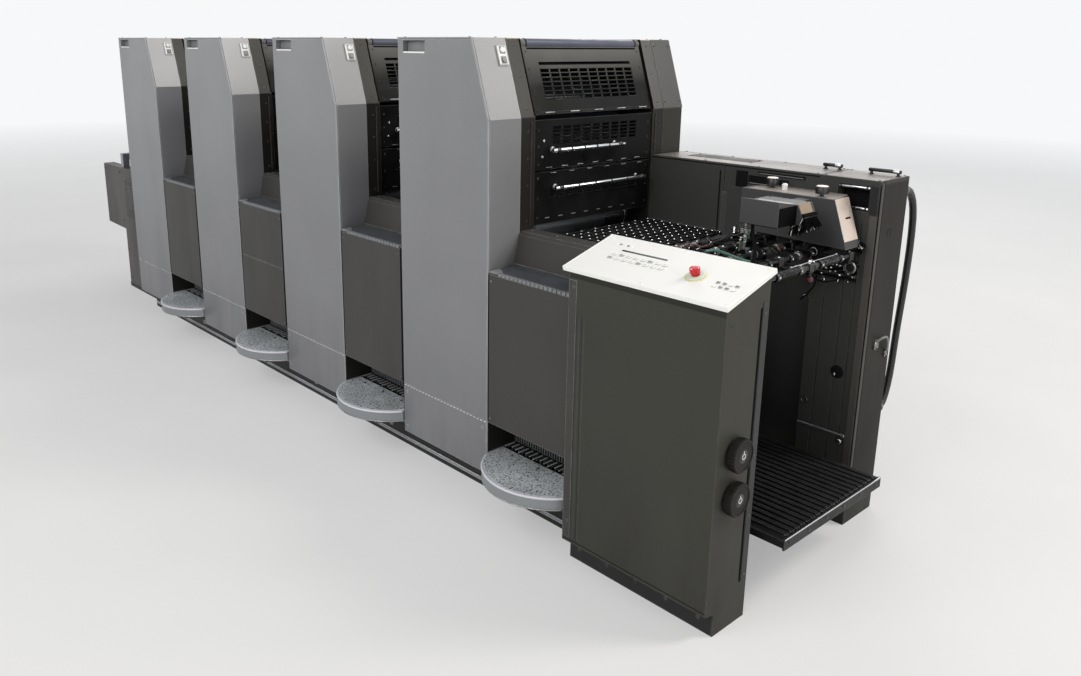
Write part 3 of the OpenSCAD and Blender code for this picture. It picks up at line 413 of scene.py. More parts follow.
class Shape:
    """Mesh of one piece, drawn in a local frame, with a finish for each face."""

    def __init__(self, at=None):
        self.at = at or Matrix.Identity(4)
        self.points, self.faces, self.looks, self.used = [], [], [], []

    def add(self, points, faces, look):
        start = len(self.points)
        self.points += [self.at @ Vector(p) for p in points]
        if look not in self.used:
            self.used.append(look)
        self.faces += [[start + k for k in face] for face in faces]
        self.looks += [self.used.index(look)] * len(faces)

    def rings(self, points, sides, look, closed=False):
        """Skin over rings of points, capped at its ends unless it is closed."""
        count = len(points) // sides
        faces = []
        for ring in range(count if closed else count - 1):
            up = (ring + 1) % count
            for k in range(sides):
                j = (k + 1) % sides
                faces.append([ring * sides + k, ring * sides + j, up * sides + j, up * sides + k])
        if not closed:
            faces += [list(range(sides)), list(range(len(points) - sides, len(points)))]
        self.add(points, faces, look)

    def box(self, low, high, look, chamfer=1.0):
        """Box with chamfered edges."""
        low, high = [min(p) for p in zip(low, high)], [max(p) for p in zip(low, high)]
        c = min([chamfer] + [(h - l) * 0.45 for l, h in zip(low, high)])
        points = []
        for corner in range(8):
            ends = [(high if corner >> a & 1 else low)[a] for a in range(3)]
            inner = [e - c if corner >> a & 1 else e + c for a, e in enumerate(ends)]
            for a in range(3):
                points.append([ends[b] if b == a else inner[b] for b in range(3)])
        faces = []
        for a in range(3):
            b, d = (a + 1) % 3, (a + 2) % 3
            for s in (0, 1):
                ring = [s << a, s << a | 1 << b, s << a | 1 << b | 1 << d, s << a | 1 << d]
                faces.append([3 * k + a for k in ring])
            for one in (0, 1 << d, 1 << b, 1 << b | 1 << d):
                two = one | 1 << a
                faces.append([3 * one + b, 3 * two + b, 3 * two + d, 3 * one + d])
        faces += [[3 * k, 3 * k + 1, 3 * k + 2] for k in range(8)]
        self.add(points, faces, look)

    def prism(self, outline, axis, low, high, look, chamfer=1.0):
        """Outline extruded along an axis, with its end edges chamfered."""
        n = len(outline)
        area = sum(outline[k - 1][0] * outline[k][1] - outline[k][0] * outline[k - 1][1]
                   for k in range(n))
        turn = 1 if area > 0 else -1
        inset = []
        for k in range(n):
            p, q, r = (Vector(outline[j % n]) for j in (k - 1, k, k + 1))
            a, b = (q - p).normalized(), (r - q).normalized()
            na, nb = Vector((-a[1], a[0])) * turn, Vector((-b[1], b[0])) * turn
            inset.append(q + (na + nb) * (chamfer / max(0.4, 1 + na.dot(nb))))
        points = []
        for place, shape in ((low, inset), (low + chamfer, outline),
                             (high - chamfer, outline), (high, inset)):
            for u, v in shape:
                points.append({"x": (place, u, v), "y": (u, place, v), "z": (u, v, place)}[axis])
        self.rings(points, n, look)

    def lathe(self, origin, direction, profile, look, sides=24, closed=False):
        """Profile of (radius, height) points turned round a direction. An open
        profile is capped at its ends, and a closed one makes a ring."""
        x, y, z = square_to(direction)
        self.rings([Vector(origin) + z * height + (x * c + y * s) * radius
                    for radius, height in profile for c, s in circle(sides)],
                   sides, look, closed)

    def rod(self, start, end, radius, look, sides=16, edge=0.8):
        """Round bar between two points, with chamfered ends."""
        along = Vector(end) - Vector(start)
        length = along.length
        e = min(edge, radius / 2)
        self.lathe(start, along, [(radius - e, 0), (radius, e), (radius, length - e),
                                  (radius - e, length)], look, sides)

    def tube(self, route, radius, look, sides=8, steps=6):
        """Round tube along a smooth curve through the points of a route."""
        route = [Vector(p) for p in route]
        padded = [2 * route[0] - route[1]] + route + [2 * route[-1] - route[-2]]
        path = []
        for k in range(1, len(padded) - 2):
            a, b, c, d = padded[k - 1:k + 3]
            for s in range(steps):
                t = s / steps
                path.append(0.5 * (2 * b + (c - a) * t + (2 * a - 5 * b + 4 * c - d) * t * t
                                   + (3 * b - a - 3 * c + d) * t ** 3))
        path.append(route[-1])
        points, last = [], None
        for k, p in enumerate(path):
            ahead = (path[min(k + 1, len(path) - 1)] - path[max(k - 1, 0)]).normalized()
            if last is None:
                last = square_to(ahead)[0]
            last = (last - ahead * last.dot(ahead)).normalized()
            other = ahead.cross(last)
            points += [p + (last * c + other * s) * radius for c, s in circle(sides)]
        self.rings(points, sides, look)

    def screw(self, place, direction, radius=5, look="screw_black", rise=None):
        """Button-head screw with a hexagon socket."""
        x, y, z = square_to(direction)
        h = rise or radius * 0.55
        across = radius * 0.46
        rings = [[(radius * r, h * up)] * 12
                 for r, up in ((1, 0), (1, 0.35), (0.86, 0.8), (0.62, 1))]
        socket = [across / math.cos(math.radians((30 * k) % 60 - 30)) for k in range(12)]
        rings += [[(s, h) for s in socket], [(s * 0.96, h * 0.35) for s in socket]]
        self.rings([Vector(place) + z * up + (x * c + y * s) * r
                    for ring in rings for (r, up), (c, s) in zip(ring, circle(12))],
                   12, look)

    def screws(self, places, direction, radius=5, look="screw_black"):
        for place in places:
            self.screw(place, direction, radius, look)

    def rivet(self, place, direction, radius, look="bright_steel", sides=8):
        self.lathe(place, direction, [(radius, 0), (radius * 0.85, radius * 0.4),
                                      (radius * 0.35, radius * 0.6)], look, sides)

    def spring(self, start, end, radius, wire, turns, look="spring_steel"):
        """Coil spring between two points."""
        start, end = Vector(start), Vector(end)
        x, y, _ = square_to(end - start)
        count = turns * 8
        route = []
        for k in range(count + 1):
            a = 2 * math.pi * k / 8
            route.append(start + (end - start) * (k / count)
                         + (x * math.cos(a) + y * math.sin(a)) * radius)
        self.tube(route, wire, look, 6, 1)

    def latch(self, x, y, z):
        """Quarter-turn latch on a face towards the drive side."""
        self.lathe((x, y, z), BACK, [(17, 0), (17, 1.5), (15, 3), (3, 3)], "black_plastic")
        self.box((x - 3, y + 2, z - 11), (x + 3, y + 9, z + 11), "screw_steel", 1.5)

    def louvres(self, x0, x1, y, z0, rows, pitch, outline, look):
        """Rows of louvres, with an outline of (depth, rise) points, on such a face."""
        for k in range(rows):
            z = z0 + k * pitch
            self.prism([(y + depth, z + rise) for depth, rise in outline], "x", x0, x1, look)


def piece(name, shape, body="press", replaces=()):
    """Makes a piece from its shape, in metres, and hangs it on a body."""
    mesh = bpy.data.meshes.new(name)
    mesh.from_pydata([p * MM for p in shape.points], [], shape.faces)
    for look in shape.used:
        mesh.materials.append(LOOKS[look])
    for polygon, look in zip(mesh.polygons, shape.looks):
        polygon.material_index = look
    work = bmesh.new()
    work.from_mesh(mesh)
    bmesh.ops.recalc_face_normals(work, faces=work.faces)
    work.to_mesh(mesh)
    work.free()
    mesh.shade_smooth()
    mesh.set_sharp_from_angle(angle=math.radians(34))
    made = bpy.data.objects.new(name, mesh)
    bpy.context.scene.collection.objects.link(made)
    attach(made, body)
    for node in replaces:
        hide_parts(node)
    return made


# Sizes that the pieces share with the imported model

UNIT_X = (-1594, -694, 206, 1106)
UNIT_W, UNIT_H, GAP_W = 488, 1600, 412
SLOPE_RUN, SLOPE_DROP = 84, 255
SLOPE_A = math.atan(SLOPE_RUN / SLOPE_DROP)
SLOPE_L = 268              # length of the slope, down to its foot
GUARD_X = UNIT_W - 6       # face of the upright guards
HINGE = (14, 0, -16)       # hinge of the ink guard, on the slope
RAIL_RISE = 28             # grip rails over the guards
LAST_X = 1594
Y_IN, Y_OUT, Y_FRONT, Y_DRIVE, Y_HOUSING = 310, 374, -515, 491, 515
Y_FRAME = 342              # middle of a side frame
TOWER_Z = 132              # lower end of the towers' pale edge strips, which are painted highlights
PANEL_AT, PANEL_TILT = (1988, -570, 942.54), math.radians(16.8)
RIGHT, LEFT, BACK, FRONT, UP = (1, 0, 0), (-1, 0, 0), (0, 1, 0), (0, -1, 0), (0, 0, 1)
SIDES = (-1, 1)
FLAT_LOUVRE = [(-1, 0), (6, 0), (7, 2), (-1, 13)]


def slope_frame(unit):
    """X runs down a unit's slope and Z points out of it."""
    s, c = math.sin(SLOPE_A), math.cos(SLOPE_A)
    return axes((UNIT_X[unit] + UNIT_W - SLOPE_RUN, 0, UNIT_H), (s, 0, -c), (c, 0, s))


def face_frame(unit, top):
    """X runs down a unit's upright guards from height top, and Z points out."""
    return axes((UNIT_X[unit] + GUARD_X, 0, top), (0, 0, -1), RIGHT)


def panel_frame():
    """Corner of the control panel, with X along the press and Y up its slope."""
    return axes(PANEL_AT, RIGHT, (0, -math.sin(PANEL_TILT), math.cos(PANEL_TILT)))


# Printing units

def tower_fittings(unit):
    """Control plate and grip of a tower, with a bright lip and a lighter back plate
    in the grip as painted light, pale strips along its edges and pale dashes along
    its seam as painted highlights, and its screws.
    """
    s = Shape(slope_frame(unit))
    s.box((29, -422, 3.6), (91, -384, 6.4), "panel_white", 1.2)
    for down, look in ((43, "panel_white"), (76, "grey_plastic")):
        s.box((down - 12, -415, 6), (down + 12, -391, 7.6), "grey_plastic", 0.6)
        s.lathe((down, -403, 7), UP, [(9.4, 0), (9.4, 3.6), (8.4, 4.6), (3, 5)], look, 24)
    low, high = Y_FRONT - 0.8, Y_FRONT + 2.2
    # Painted highlight: a pale strip along the front edge of the slope.
    s.box((1, low, -2.2), (SLOPE_L - 1, high, 0.8), "fold_pale", 0.6)
    s.at = Matrix.Identity(4)
    x = UNIT_X[unit]
    right = x + UNIT_W
    # Painted light: a bright lower lip on the grip, and a lighter plate in its recess where shade
    # falls.
    s.box((x + 37, Y_FRONT - 0.6, 1547), (x + 157, Y_FRONT + 8, 1553), "panel_white", 1.4)
    s.box((x + 36, Y_FRONT + 21, 1549), (x + 158, Y_FRONT + 24.2, 1588), "grey_plastic", 0.8)
    # Painted highlights: pale strips along the front's right and top edges.
    s.box((right - 2.2, low, TOWER_Z), (right + 0.8, high, UNIT_H - SLOPE_DROP - 1),
          "fold_pale", 0.6)
    s.box((x + 1, low, UNIT_H - 2), (right - SLOPE_RUN - 1, high, UNIT_H + 0.8), "fold_pale", 0.6)
    for dx in (26, UNIT_W - 26):
        for z in (148, 288):
            s.lathe((x + dx, Y_FRONT, z), FRONT, [(6, 0), (6, 0.7), (5.2, 1.1), (1, 1.1)],
                    "tower_grey", 20)
            s.box((x + dx - 4, Y_FRONT - 1.4, z - 0.7), (x + dx + 4, Y_FRONT - 0.6, z + 0.7),
                  "frame_dark", 0.2)
    # Painted highlights: pale dashes along the seam low on the front and side.
    pitch, dash, seam = 18.4, 9, (312, 315.2)
    for at in [10 + pitch * k for k in range(26)]:
        s.box((x + at, Y_FRONT - 0.7, seam[0]), (x + at + dash, Y_FRONT + 1, seam[1]),
              "seam_pale", 0.4)
    for at in [Y_FRONT + 10 + pitch * k for k in range(7)]:
        s.box((right - 1, at, seam[0]), (right + 0.7, at + dash, seam[1]), "seam_pale", 0.4)
    s.screws(grid((x + 30, x + 376), (-500, -390), UNIT_H), UP)
    piece(f"tower_fittings_{unit + 1}", s)


def drive_fittings(unit):
    """Louvres, latches and screws on the drive side of a tower."""
    s = Shape()
    x = UNIT_X[unit]
    for z, rows in ((1120, 9), (420, 7)):
        s.louvres(x + 96, x + 392, Y_DRIVE, z, rows, 26,
                  [(-1, 0), (7, 0), (8, 2), (5, 9), (-1, 15)], "drive_grey")
    s.screws(grid((x + 24, x + UNIT_W - 24), Y_DRIVE, (150, 292, 345, 760, 1180, 1318)), BACK, 6)
    for z in (900, 1000):
        s.latch(x + 60, Y_DRIVE, z)
    s.screws(grid((x + 30, x + 376), (390, 474), UNIT_H), UP)
    s.at = slope_frame(unit)
    # Painted light: a lighter copy of the frame paint laid on the slope.
    s.box((1, 376, -0.5), (SLOPE_L - 3, 489, 0.8), "slope_paint", 0.6)
    s.screws(grid((24, 240), (390, 474), 0.8), UP, 5, "slope_paint")
    piece(f"drive_fittings_{unit + 1}", s)


def slot_lips(s, x0, rows, pitch, columns, col_pitch, length, height, base, looks):
    """Black rims round rows of slots in a guard, as painted shade that widens the
    dark of each slot, some with a lower lip in a second finish.
    """
    for row in range(rows):
        for column in range(columns):
            x, y = x0 + row * pitch, (column - (columns - 1) / 2) * col_pitch
            half = length / 2
            for low, high in ((-2.4, 0.4), (height - 0.6, height + 1)):
                s.box((x + low, y - half - 1, base - 2.5), (x + high, y + half + 1, base + 0.9),
                      looks[0], 0.5)
            if (row * 5 + column * 3) % 4 == 1:
                s.box((x + height + 1, y - half + 2, base - 1),
                      (x + height + 2.4, y + half - 2, base + 1), looks[1], 0.4)


def highlight_dashes(s, x, height, count, pitch, length, start=0.0):
    """Painted highlights: short bright marks along a folded edge."""
    for k in range(count):
        y = (k - (count - 1) / 2) * pitch + start
        s.box((x, y - length / 2, height - 1.6), (x + 3, y + length / 2, height),
              "screw_steel", 0.7)


def side_screws(s, downs, y, z=0):
    """Screws down both sides of a guard."""
    s.screws([(u, side * y, z) for u in downs for side in SIDES], UP, 4.2, "guard_black")


def ink_fittings(unit):
    """Sleeve with its caps, slot rims of painted shade, seams, and marks that are
    painted highlights, of an ink guard.
    """
    s = Shape(slope_frame(unit))
    s.lathe(HINGE, BACK, collar(15.8, 278, 16.9, 275), "slate_sleeve", 40)
    for side in SIDES:
        s.lathe((HINGE[0], side * 279, HINGE[2]), (0, side, 0),
                [(16.2, 0), (17.4, 1), (17.4, 4), (15, 6), (3, 6)], "jet", 32)
    side_screws(s, (44, 104, 176, 246), 286, -6)
    s.box((31, -280, -6.4), (36, 280, -4.2), "jet", 0.6)
    s.box((86, -236, -7), (90.6, 236, -5.2), "jet", 0.5)
    # Painted shade: black rims round the slots.
    slot_lips(s, 106, 7, 15.5, 10, 48, 42, 9, -6, ("jet", "screw_black"))
    s.box((250, -280, -6.6), (260, 280, -4.6), "guard_black")
    # Painted highlights along the guard's lower edge.
    highlight_dashes(s, 252, -3.6, 5, 122, 44, 14)
    piece(f"ink_guard_fittings_{unit + 1}", s, f"ink_guard_{unit + 1}")


def rail_sleeve(s, down, y0, y1):
    """Bright sleeve over a grip rail, with the collars of its posts."""
    s.lathe((down, 0, RAIL_RISE), BACK, [(4.6, y0 - 2.4), (6.6, y0 - 1.6), (7.7, y0 + 1),
                                         (7.7, y1 - 1), (6.6, y1 + 1.6), (4.6, y1 + 2.4)],
            "bright_steel")
    post = 22
    for y in (y0 + post, y1 - post):
        s.lathe((down, y, 0), UP, [(11, 0), (11, 2), (9.8, 3), (7, 4), (5.6, 6),
                                   (5.6, 21), (4, 21)], "screw_steel")
        s.lathe((down, y, RAIL_RISE), BACK, collar(9.3, 9, 9.9, 8), "black_plastic")
    for k in range(1, 5):
        y = y0 + post + k * (y1 - y0 - 2 * post) / 5
        s.lathe((down, y, RAIL_RISE), BACK, collar(7.8, 4, 8.3, 3), "screw_black", 20)


def plate_fittings(unit):
    """Rail, slot rims of painted shade, screws, and marks that are painted highlights,
    of the guard before the plate cylinder.
    """
    s = Shape(face_frame(unit, 1334))
    rail_sleeve(s, 102, -242, 121)
    side_screws(s, (34, 88, 148), 287)
    s.screws([(70, -262, 0), (124, -268, 0)], UP, 5, "bright_steel")
    # Painted shade: black rims round the slots.
    slot_lips(s, 26, 5, 12.5, 9, 50, 40, 6.5, 0, ("jet", "guard_black"))
    # Painted highlights along a fold of the guard.
    highlight_dashes(s, 160, 1.4, 7, 78, 30)
    piece(f"plate_guard_fittings_{unit + 1}", s, f"plate_guard_{unit + 1}")


def blanket_fittings(unit):
    """Rail, screws, and bright marks that are painted highlights, of the guard before
    the blanket cylinder.
    """
    s = Shape(face_frame(unit, 1158))
    rail_sleeve(s, 56, -226, 251)
    side_screws(s, (20, 90, 156), 287)
    # Painted highlights along folds of the guard.
    highlight_dashes(s, 4, 1.2, 6, 92, 26, 18)
    highlight_dashes(s, 158, 1.2, 8, 66, 20, -8)
    piece(f"blanket_guard_fittings_{unit + 1}", s, f"blanket_guard_{unit + 1}")


def inner_fittings(unit):
    """Lighter plates on the slopes as painted light, pale strips along the tops as
    painted highlights, seams, guide bars and screws on the side frames.
    """
    s = Shape()
    edge = UNIT_X[unit] + UNIT_W
    for side in SIDES:
        s.screws(grid(edge, side * Y_FRAME, (1000, 1120, 1210, 1300)), RIGHT, 4.5, "frame_dark")
        # Painted highlight: a pale strip along the top edge of the side frame.
        s.box((edge - 88, side * 312, UNIT_H - 3), (edge - 81, side * 372, UNIT_H + 0.8),
              "pale_plate")
        s.box((edge - 0.5, side * 322, 985), (edge + 3, side * 330, 1330), "frame_dark")
    s.at = slope_frame(unit)
    # Painted light: lighter plates laid on the slopes of both side frames.
    for side, look in zip(SIDES, ("drive_grey", "slope_paint")):
        s.box((1, side * 315, -0.5), (SLOPE_L - 3, side * 372, 1), look, 0.6)
        s.box((1, side * 308, -4), (SLOPE_L - 6, side * 314.6, 1.2), "jet", 0.6)
        s.screws(grid((26, 132, 240), side * Y_FRAME, 1), UP, 4.5, look)
    piece(f"side_frame_fittings_{unit + 1}", s)


def hood_fittings(unit):
    """Vent slats, screws and grips on a unit's hood and its feeder side."""
    s = Shape()
    x, top = UNIT_X[unit], UNIT_H - 16
    s.screws(grid((x + 70, x + 330), (-280, 0, 280), top), UP, 6)
    for u in range(x + 150, x + 259, 18):
        s.prism([(u, top - 1), (u + 8, top - 1), (u + 7, top + 3.5), (u + 3, top + 4.5)],
                "y", -170, 170, "frame_dark")
    for y in (-210, 210):
        for post in (y - 44, y + 36):
            s.box((x + 8.6, post, 1108), (x + 2, post + 8, 1126), "black_plastic", 1.5)
        s.rod((x + 1.5, y - 52, 1117), (x + 1.5, y + 52, 1117), 6, "black_plastic", 16)
    s.screws(grid(x + 8, (-290, 290), (960, 1180, 1460)), LEFT)
    piece(f"hood_fittings_{unit + 1}", s)


# Between the units

def gap_fittings(x0, x1, number):
    """Ribbed mat and edge strip on the ledge, fins and pipes in the recess over
    the footboard, and screws of the cover."""
    s = Shape()
    width = x1 - x0
    ribs, mat_depth, ledge_rise = 15, 92, 8 / 106
    outline = [(-506, 850.5)]
    for k in range(ribs):
        y = -504 + k * mat_depth / ribs
        z = 853.4 + (y + 509) * ledge_rise
        outline += [(y, z), (y + 3.4, z + 0.3), (y + 4.2, z - 1.6), (y + 5.6, z - 1.6)]
    s.prism(outline + [(-410, 857)], "x", x0 + 12, x1 - 12, "mat_grey")
    for x in (x0 + 0.6, x1 - 6):
        s.box((x, Y_FRONT - 0.7, 322), (x + 5.4, Y_FRONT + 1, 846), "jet", 0.4)
    teeth = int((width - 60) // 19)
    for k in range(teeth):
        x = x0 + 50 + k * (width - 60) / teeth
        s.prism([(x, -515.4), (x + 13, -515.4), (x + 19, -500), (x + 6, -500)], "z", 844, 854.4,
                "grey_plastic")
    s.box((x0 + 6, -408, 858), (x1 - 6, -404.5, 866), "cover_grey")
    for z in (336, 822):
        s.screws(grid((x0 + 16, x1 - 16), Y_FRONT, z), FRONT, 4, "cover_grey")
    s.screws([(x0 + 26 + k * (width - 52) / 3, -340, 970) for k in range(4)], UP, 4, "cover_grey")
    s.prism([(x0 + 6, -513), (x0 + 40, -513), (x0 + 52, -496), (x0 + 30, -478), (x0 + 6, -470)],
            "z", 848, 856.5, "grey_plastic", 1.6)
    s.box((x0 + 4, -381, 207), (x1 - 4, -373, 316), "jet", 1.5)
    fins = 34
    for k in range(fins):
        x = x0 + 10 + k * (width - 20) / (fins - 1)
        s.box((x - 2, -384, 210), (x + 2, -380, 233), "grey_plastic", 0.8)
        s.box((x - 2.4, -440 + k % 3 * 6, 206), (x + 2.4, -392, 209.4),
              ("fold_pale", "screw_black")[k % 2], 0.8)
    s.box((x0 + 4, -444, 204.6), (x1 - 4, -381, 206.8), "jet", 0.8)
    s.rod((x0 + 2, -384, 296), (x1 - 2, -384, 296), 4, "screw_black")
    for x in (x0 - 0.4, x1 - 0.9):
        s.box((x, -513, 207), (x + 1.3, -386, 318), "frame_dark", 0.4)
    piece(f"gap_fittings_{number}", s)


def footboard_trim(x0, x1, number):
    """Rolled rim, brackets and screws of a footboard."""
    s = Shape()
    cx, cy, r = (x0 + x1) / 2, -417, 228
    half = (x1 - x0) / 2 - 4
    a = math.acos(min(1, half / r))
    arc = [(cx + (r - 0.5) * math.cos(t), cy - (r - 0.5) * math.sin(t))
           for t in [a + (math.pi - 2 * a) * k / 40 for k in range(41)]]
    for z, wire, look in ((198.4, 4.6, "rim_pale"), (159.5, 2.8, "screw_steel")):
        s.tube([(u, v, z) for u, v in arc], wire, look, 8, 1)
    for dx in (-128, 0, 128):
        reach = cy - math.sqrt(r * r - dx * dx) + 14
        s.prism([(-438, 122), (-438, 157.4), (reach, 157.4), (reach, 148)],
                "x", cx + dx - 5, cx + dx + 5, "frame_dark")
        s.screws([(cx + dx, -470, 205), (cx + dx, -400, 205)], UP, 5.5)
    piece(f"footboard_trim_{number}", s)


def tread_fittings(x0, number):
    """Bars, clips and screws of the treads over a transfer drum."""
    s = Shape()
    z, bars = 932, 6
    for k in range(1, bars + 1):
        x = x0 + k * GAP_W / (bars + 1)
        s.lathe((x, 0, z), BACK, collar(4.6, 268, 5, 264), "black_plastic", 12)
        for y in (-180, -60, 60, 180):
            s.lathe((x, y, z), BACK, collar(5.9, 5, 6.4, 4), "bright_steel", 16)
    s.screws(grid((x0 + 20, x0 + GAP_W - 20), (-292, 0, 292), z), UP, 5.5)
    piece(f"tread_fittings_{number}", s)


def drive_cover_fittings(x0, x1, number):
    """Louvres, screws and a cable duct on the drive side between the units."""
    s = Shape()
    s.louvres(x0 + 90, x1 - 90, Y_DRIVE, 430, 8, 24, FLAT_LOUVRE, "cover_grey")
    s.screws(grid((x0 + 16, x1 - 16), Y_DRIVE, (340, 590, 830)), BACK, 6)
    s.box((x0 + 4, Y_DRIVE - 74, 200), (x1 - 4, Y_DRIVE - 40, 280), "frame_dark", 2)
    s.screws([(x0 + 30 + k * (x1 - x0 - 60) / 3, Y_DRIVE - 40, 240) for k in range(4)], BACK, 6)
    piece(f"drive_cover_fittings_{number}", s)


def plinth_strips():
    """Strips and bolts along the base."""
    s = Shape()
    s.box((-1590, -430.4, 18), (1994, -427, 32), "footboard_aluminium")
    for x in range(-1560, 1906, 77):
        s.box((x, -442, 98), (x + 34, -439, 104), "screw_steel")
    for x in range(-1500, 1501, 600):
        for y, out in ((-428, FRONT), (404, BACK)):
            s.lathe((x, y, 60), out, [(14, 0), (14, 2), (9, 3), (9, 6), (3, 6)], "screw_steel", 6)
    piece("plinth_strips", s)


for unit in range(4):
    tower_fittings(unit)
    drive_fittings(unit)
    ink_fittings(unit)
    plate_fittings(unit)
    blanket_fittings(unit)
    inner_fittings(unit)
    hood_fittings(unit)
for gap in range(3):
    start = UNIT_X[gap] + UNIT_W
    gap_fittings(start, start + GAP_W, gap + 1)
    footboard_trim(start, start + GAP_W, gap + 1)
    tread_fittings(start, gap + 1)
    drive_cover_fittings(start, start + GAP_W, gap + 1)
gap_fittings(LAST_X, LAST_X + 406, 4)
footboard_trim(LAST_X, LAST_X + 414, 4)
plinth_strips()


# Console

CONSOLE_X0, CONSOLE_X1, PANEL_W, STOP_AT, DIAL_Y = 2008, 2544, 560, (393, 103), -483


def panel_fittings():
    """Rim, display, keys, lamps and the stop's collar on the control panel."""
    s = Shape(panel_frame())
    t, w = 14, PANEL_W
    s.box((-1.2, -1.2, -0.6), (w + 1.2, 5, t + 0.8), "panel_white", 2)
    s.box((-1.2, 220, -0.6), (w + 1.2, 226, t + 0.8), "panel_white", 2)
    for x in (-1.2, w - 5):
        s.box((x, 1, -0.6), (x + 6.2, 224, t + 0.8), "panel_white", 2)
    s.box((102, 145, t - 0.4), (266, 153, t + 0.6), "black_plastic", 0.5)
    s.box((104, 146.6, t + 0.3), (264, 151.4, t + 1), "screen", 0.3)
    for c in range(8):
        for r in range(2):
            x, y = 90 + c * 26, 94 + r * 22
            look = "fold_pale" if (3 * c + r) % 4 == 0 else "panel_white"
            s.box((x - 0.8, y - 0.8, t - 0.3), (x + 15.8, y + 9.8, t + 0.6), "grey_plastic", 0.3)
            s.box((x + 0.4, y + 0.4, t + 0.4), (x + 14.6, y + 8.6, t + 3.2), look, 1)
            s.box((x + 3, y + 3.6, t + 3), (x + 12, y + 4.8, t + 3.5), "grey_plastic", 0.2)
    for c in range(4):
        for r in range(2):
            x, y = 462 + c * 19, 74 + r * 20
            s.box((x - 0.6, y - 0.6, t - 0.3), (x + 11.6, y + 9.6, t + 0.6), "grey_plastic", 0.3)
            s.box((x + 0.4, y + 0.4, t + 0.4), (x + 10.6, y + 8.6, t + 3),
                  "panel_white" if (c + r) % 3 == 0 else "grey_plastic", 1)
    for k in range(5):
        s.lathe((60 + 14 * k, 178, t - 0.4), UP, [(4, 0), (4, 1.4), (3, 2.6), (1, 3)],
                "grey_plastic" if k % 2 else "panel_white", 16)
    s.lathe((*STOP_AT, t), UP, [(31, -0.2), (31, 0.8), (30, 1.4), (26.4, 1.4), (26.4, -0.2)],
            "pale_yellow", 48)
    s.lathe((*STOP_AT, t), UP, [(26.2, 0), (26.2, 4.2), (24.6, 5), (12, 5), (10, 3.4)],
            "pale_green", 40, closed=True)
    s.screws(grid((12, w / 2, w - 12), (12, 213), t), UP, 3.4, "panel_white")
    piece("panel_fittings", s)


def stop_button():
    """Mushroom button on a ribbed neck."""
    s = Shape(panel_frame())
    z = 24
    s.lathe((*STOP_AT, 0), UP, [(9, 6), (9, z - 0.6), (11, z - 0.2), (11.4, z + 0.8), (13.4, z + 1),
                                (14.2, z + 2.4), (14.8, z + 13), (14, z + 15.6), (11.4, z + 16.7),
                                (6, z + 17), (0.6, z + 17)], "stop_red", 48)
    for step in range(3):
        for u, v in circle(3, step * 0.22):
            s.rivet((STOP_AT[0] + 11 * u, STOP_AT[1] + 11 * v, z + 16.3), UP, 1.4, "panel_white")
    piece("stop_button", s, "emergency_stop", ("emergency_stop",))


def dial(name, z):
    """Fluted hand dial with a graduated face and a screwed hub."""
    s = Shape(axes((CONSOLE_X1, DIAL_Y, z), BACK, RIGHT))
    flutes, radii = 30, (47.8, 47.8, 45.9, 45.9)
    ring = [(radii[k % 4] * u, radii[k % 4] * v) for k, (u, v) in enumerate(circle(flutes * 4))]
    s.prism(ring, "z", 7, 27, "dial_black", 1.2)
    s.lathe((0, 0, 0), UP, [(45, 5), (47, 6), (47, 8), (45, 8)], "dial_black", 64)
    s.lathe((0, 0, 0), UP, [(45.6, 26), (45.6, 28), (44.4, 29), (41.6, 29), (40, 27.6), (40, 24.6),
                            (44, 24.6)], "dial_black", 64, closed=True)
    s.lathe((0, 0, 0), UP, [(40.4, 23), (40.4, 24.6), (20, 24.8), (4, 24.8)], "dial_black", 64)
    for k, (c, d) in enumerate(circle(40)):
        inner, w = (36, 0.4) if k % 4 else (33, 0.7)
        u, v = Vector((c, d, 0)), Vector((-d, c, 0))
        low, high = u * inner, u * 39
        mark = [low - v * w, low + v * w, high + v * w, high - v * w]
        s.rings([p + Vector((0, 0, z)) for z in (24.5, 25.3) for p in mark], 4, "grey_plastic")
    s.lathe((0, 0, 0), UP, [(20, 24), (19, 27), (16, 28.4), (9, 28.6)], "black_plastic", 40)
    s.lathe((0, 0, 28.2), UP, [(8.6, 0), (8.6, 0.6), (5.4, 0.8), (5.4, 0)], "bright_steel", 28,
            closed=True)
    s.box((-1.6, 5, 28), (1.6, 15, 29), "bright_steel", 0.4)
    s.lathe((0, 0, 0), UP, [(10, -24), (10, 7), (14, 7.2), (14, 8)], "rod_steel", 32)
    piece(f"{name}_wheel", s, name, (name,))


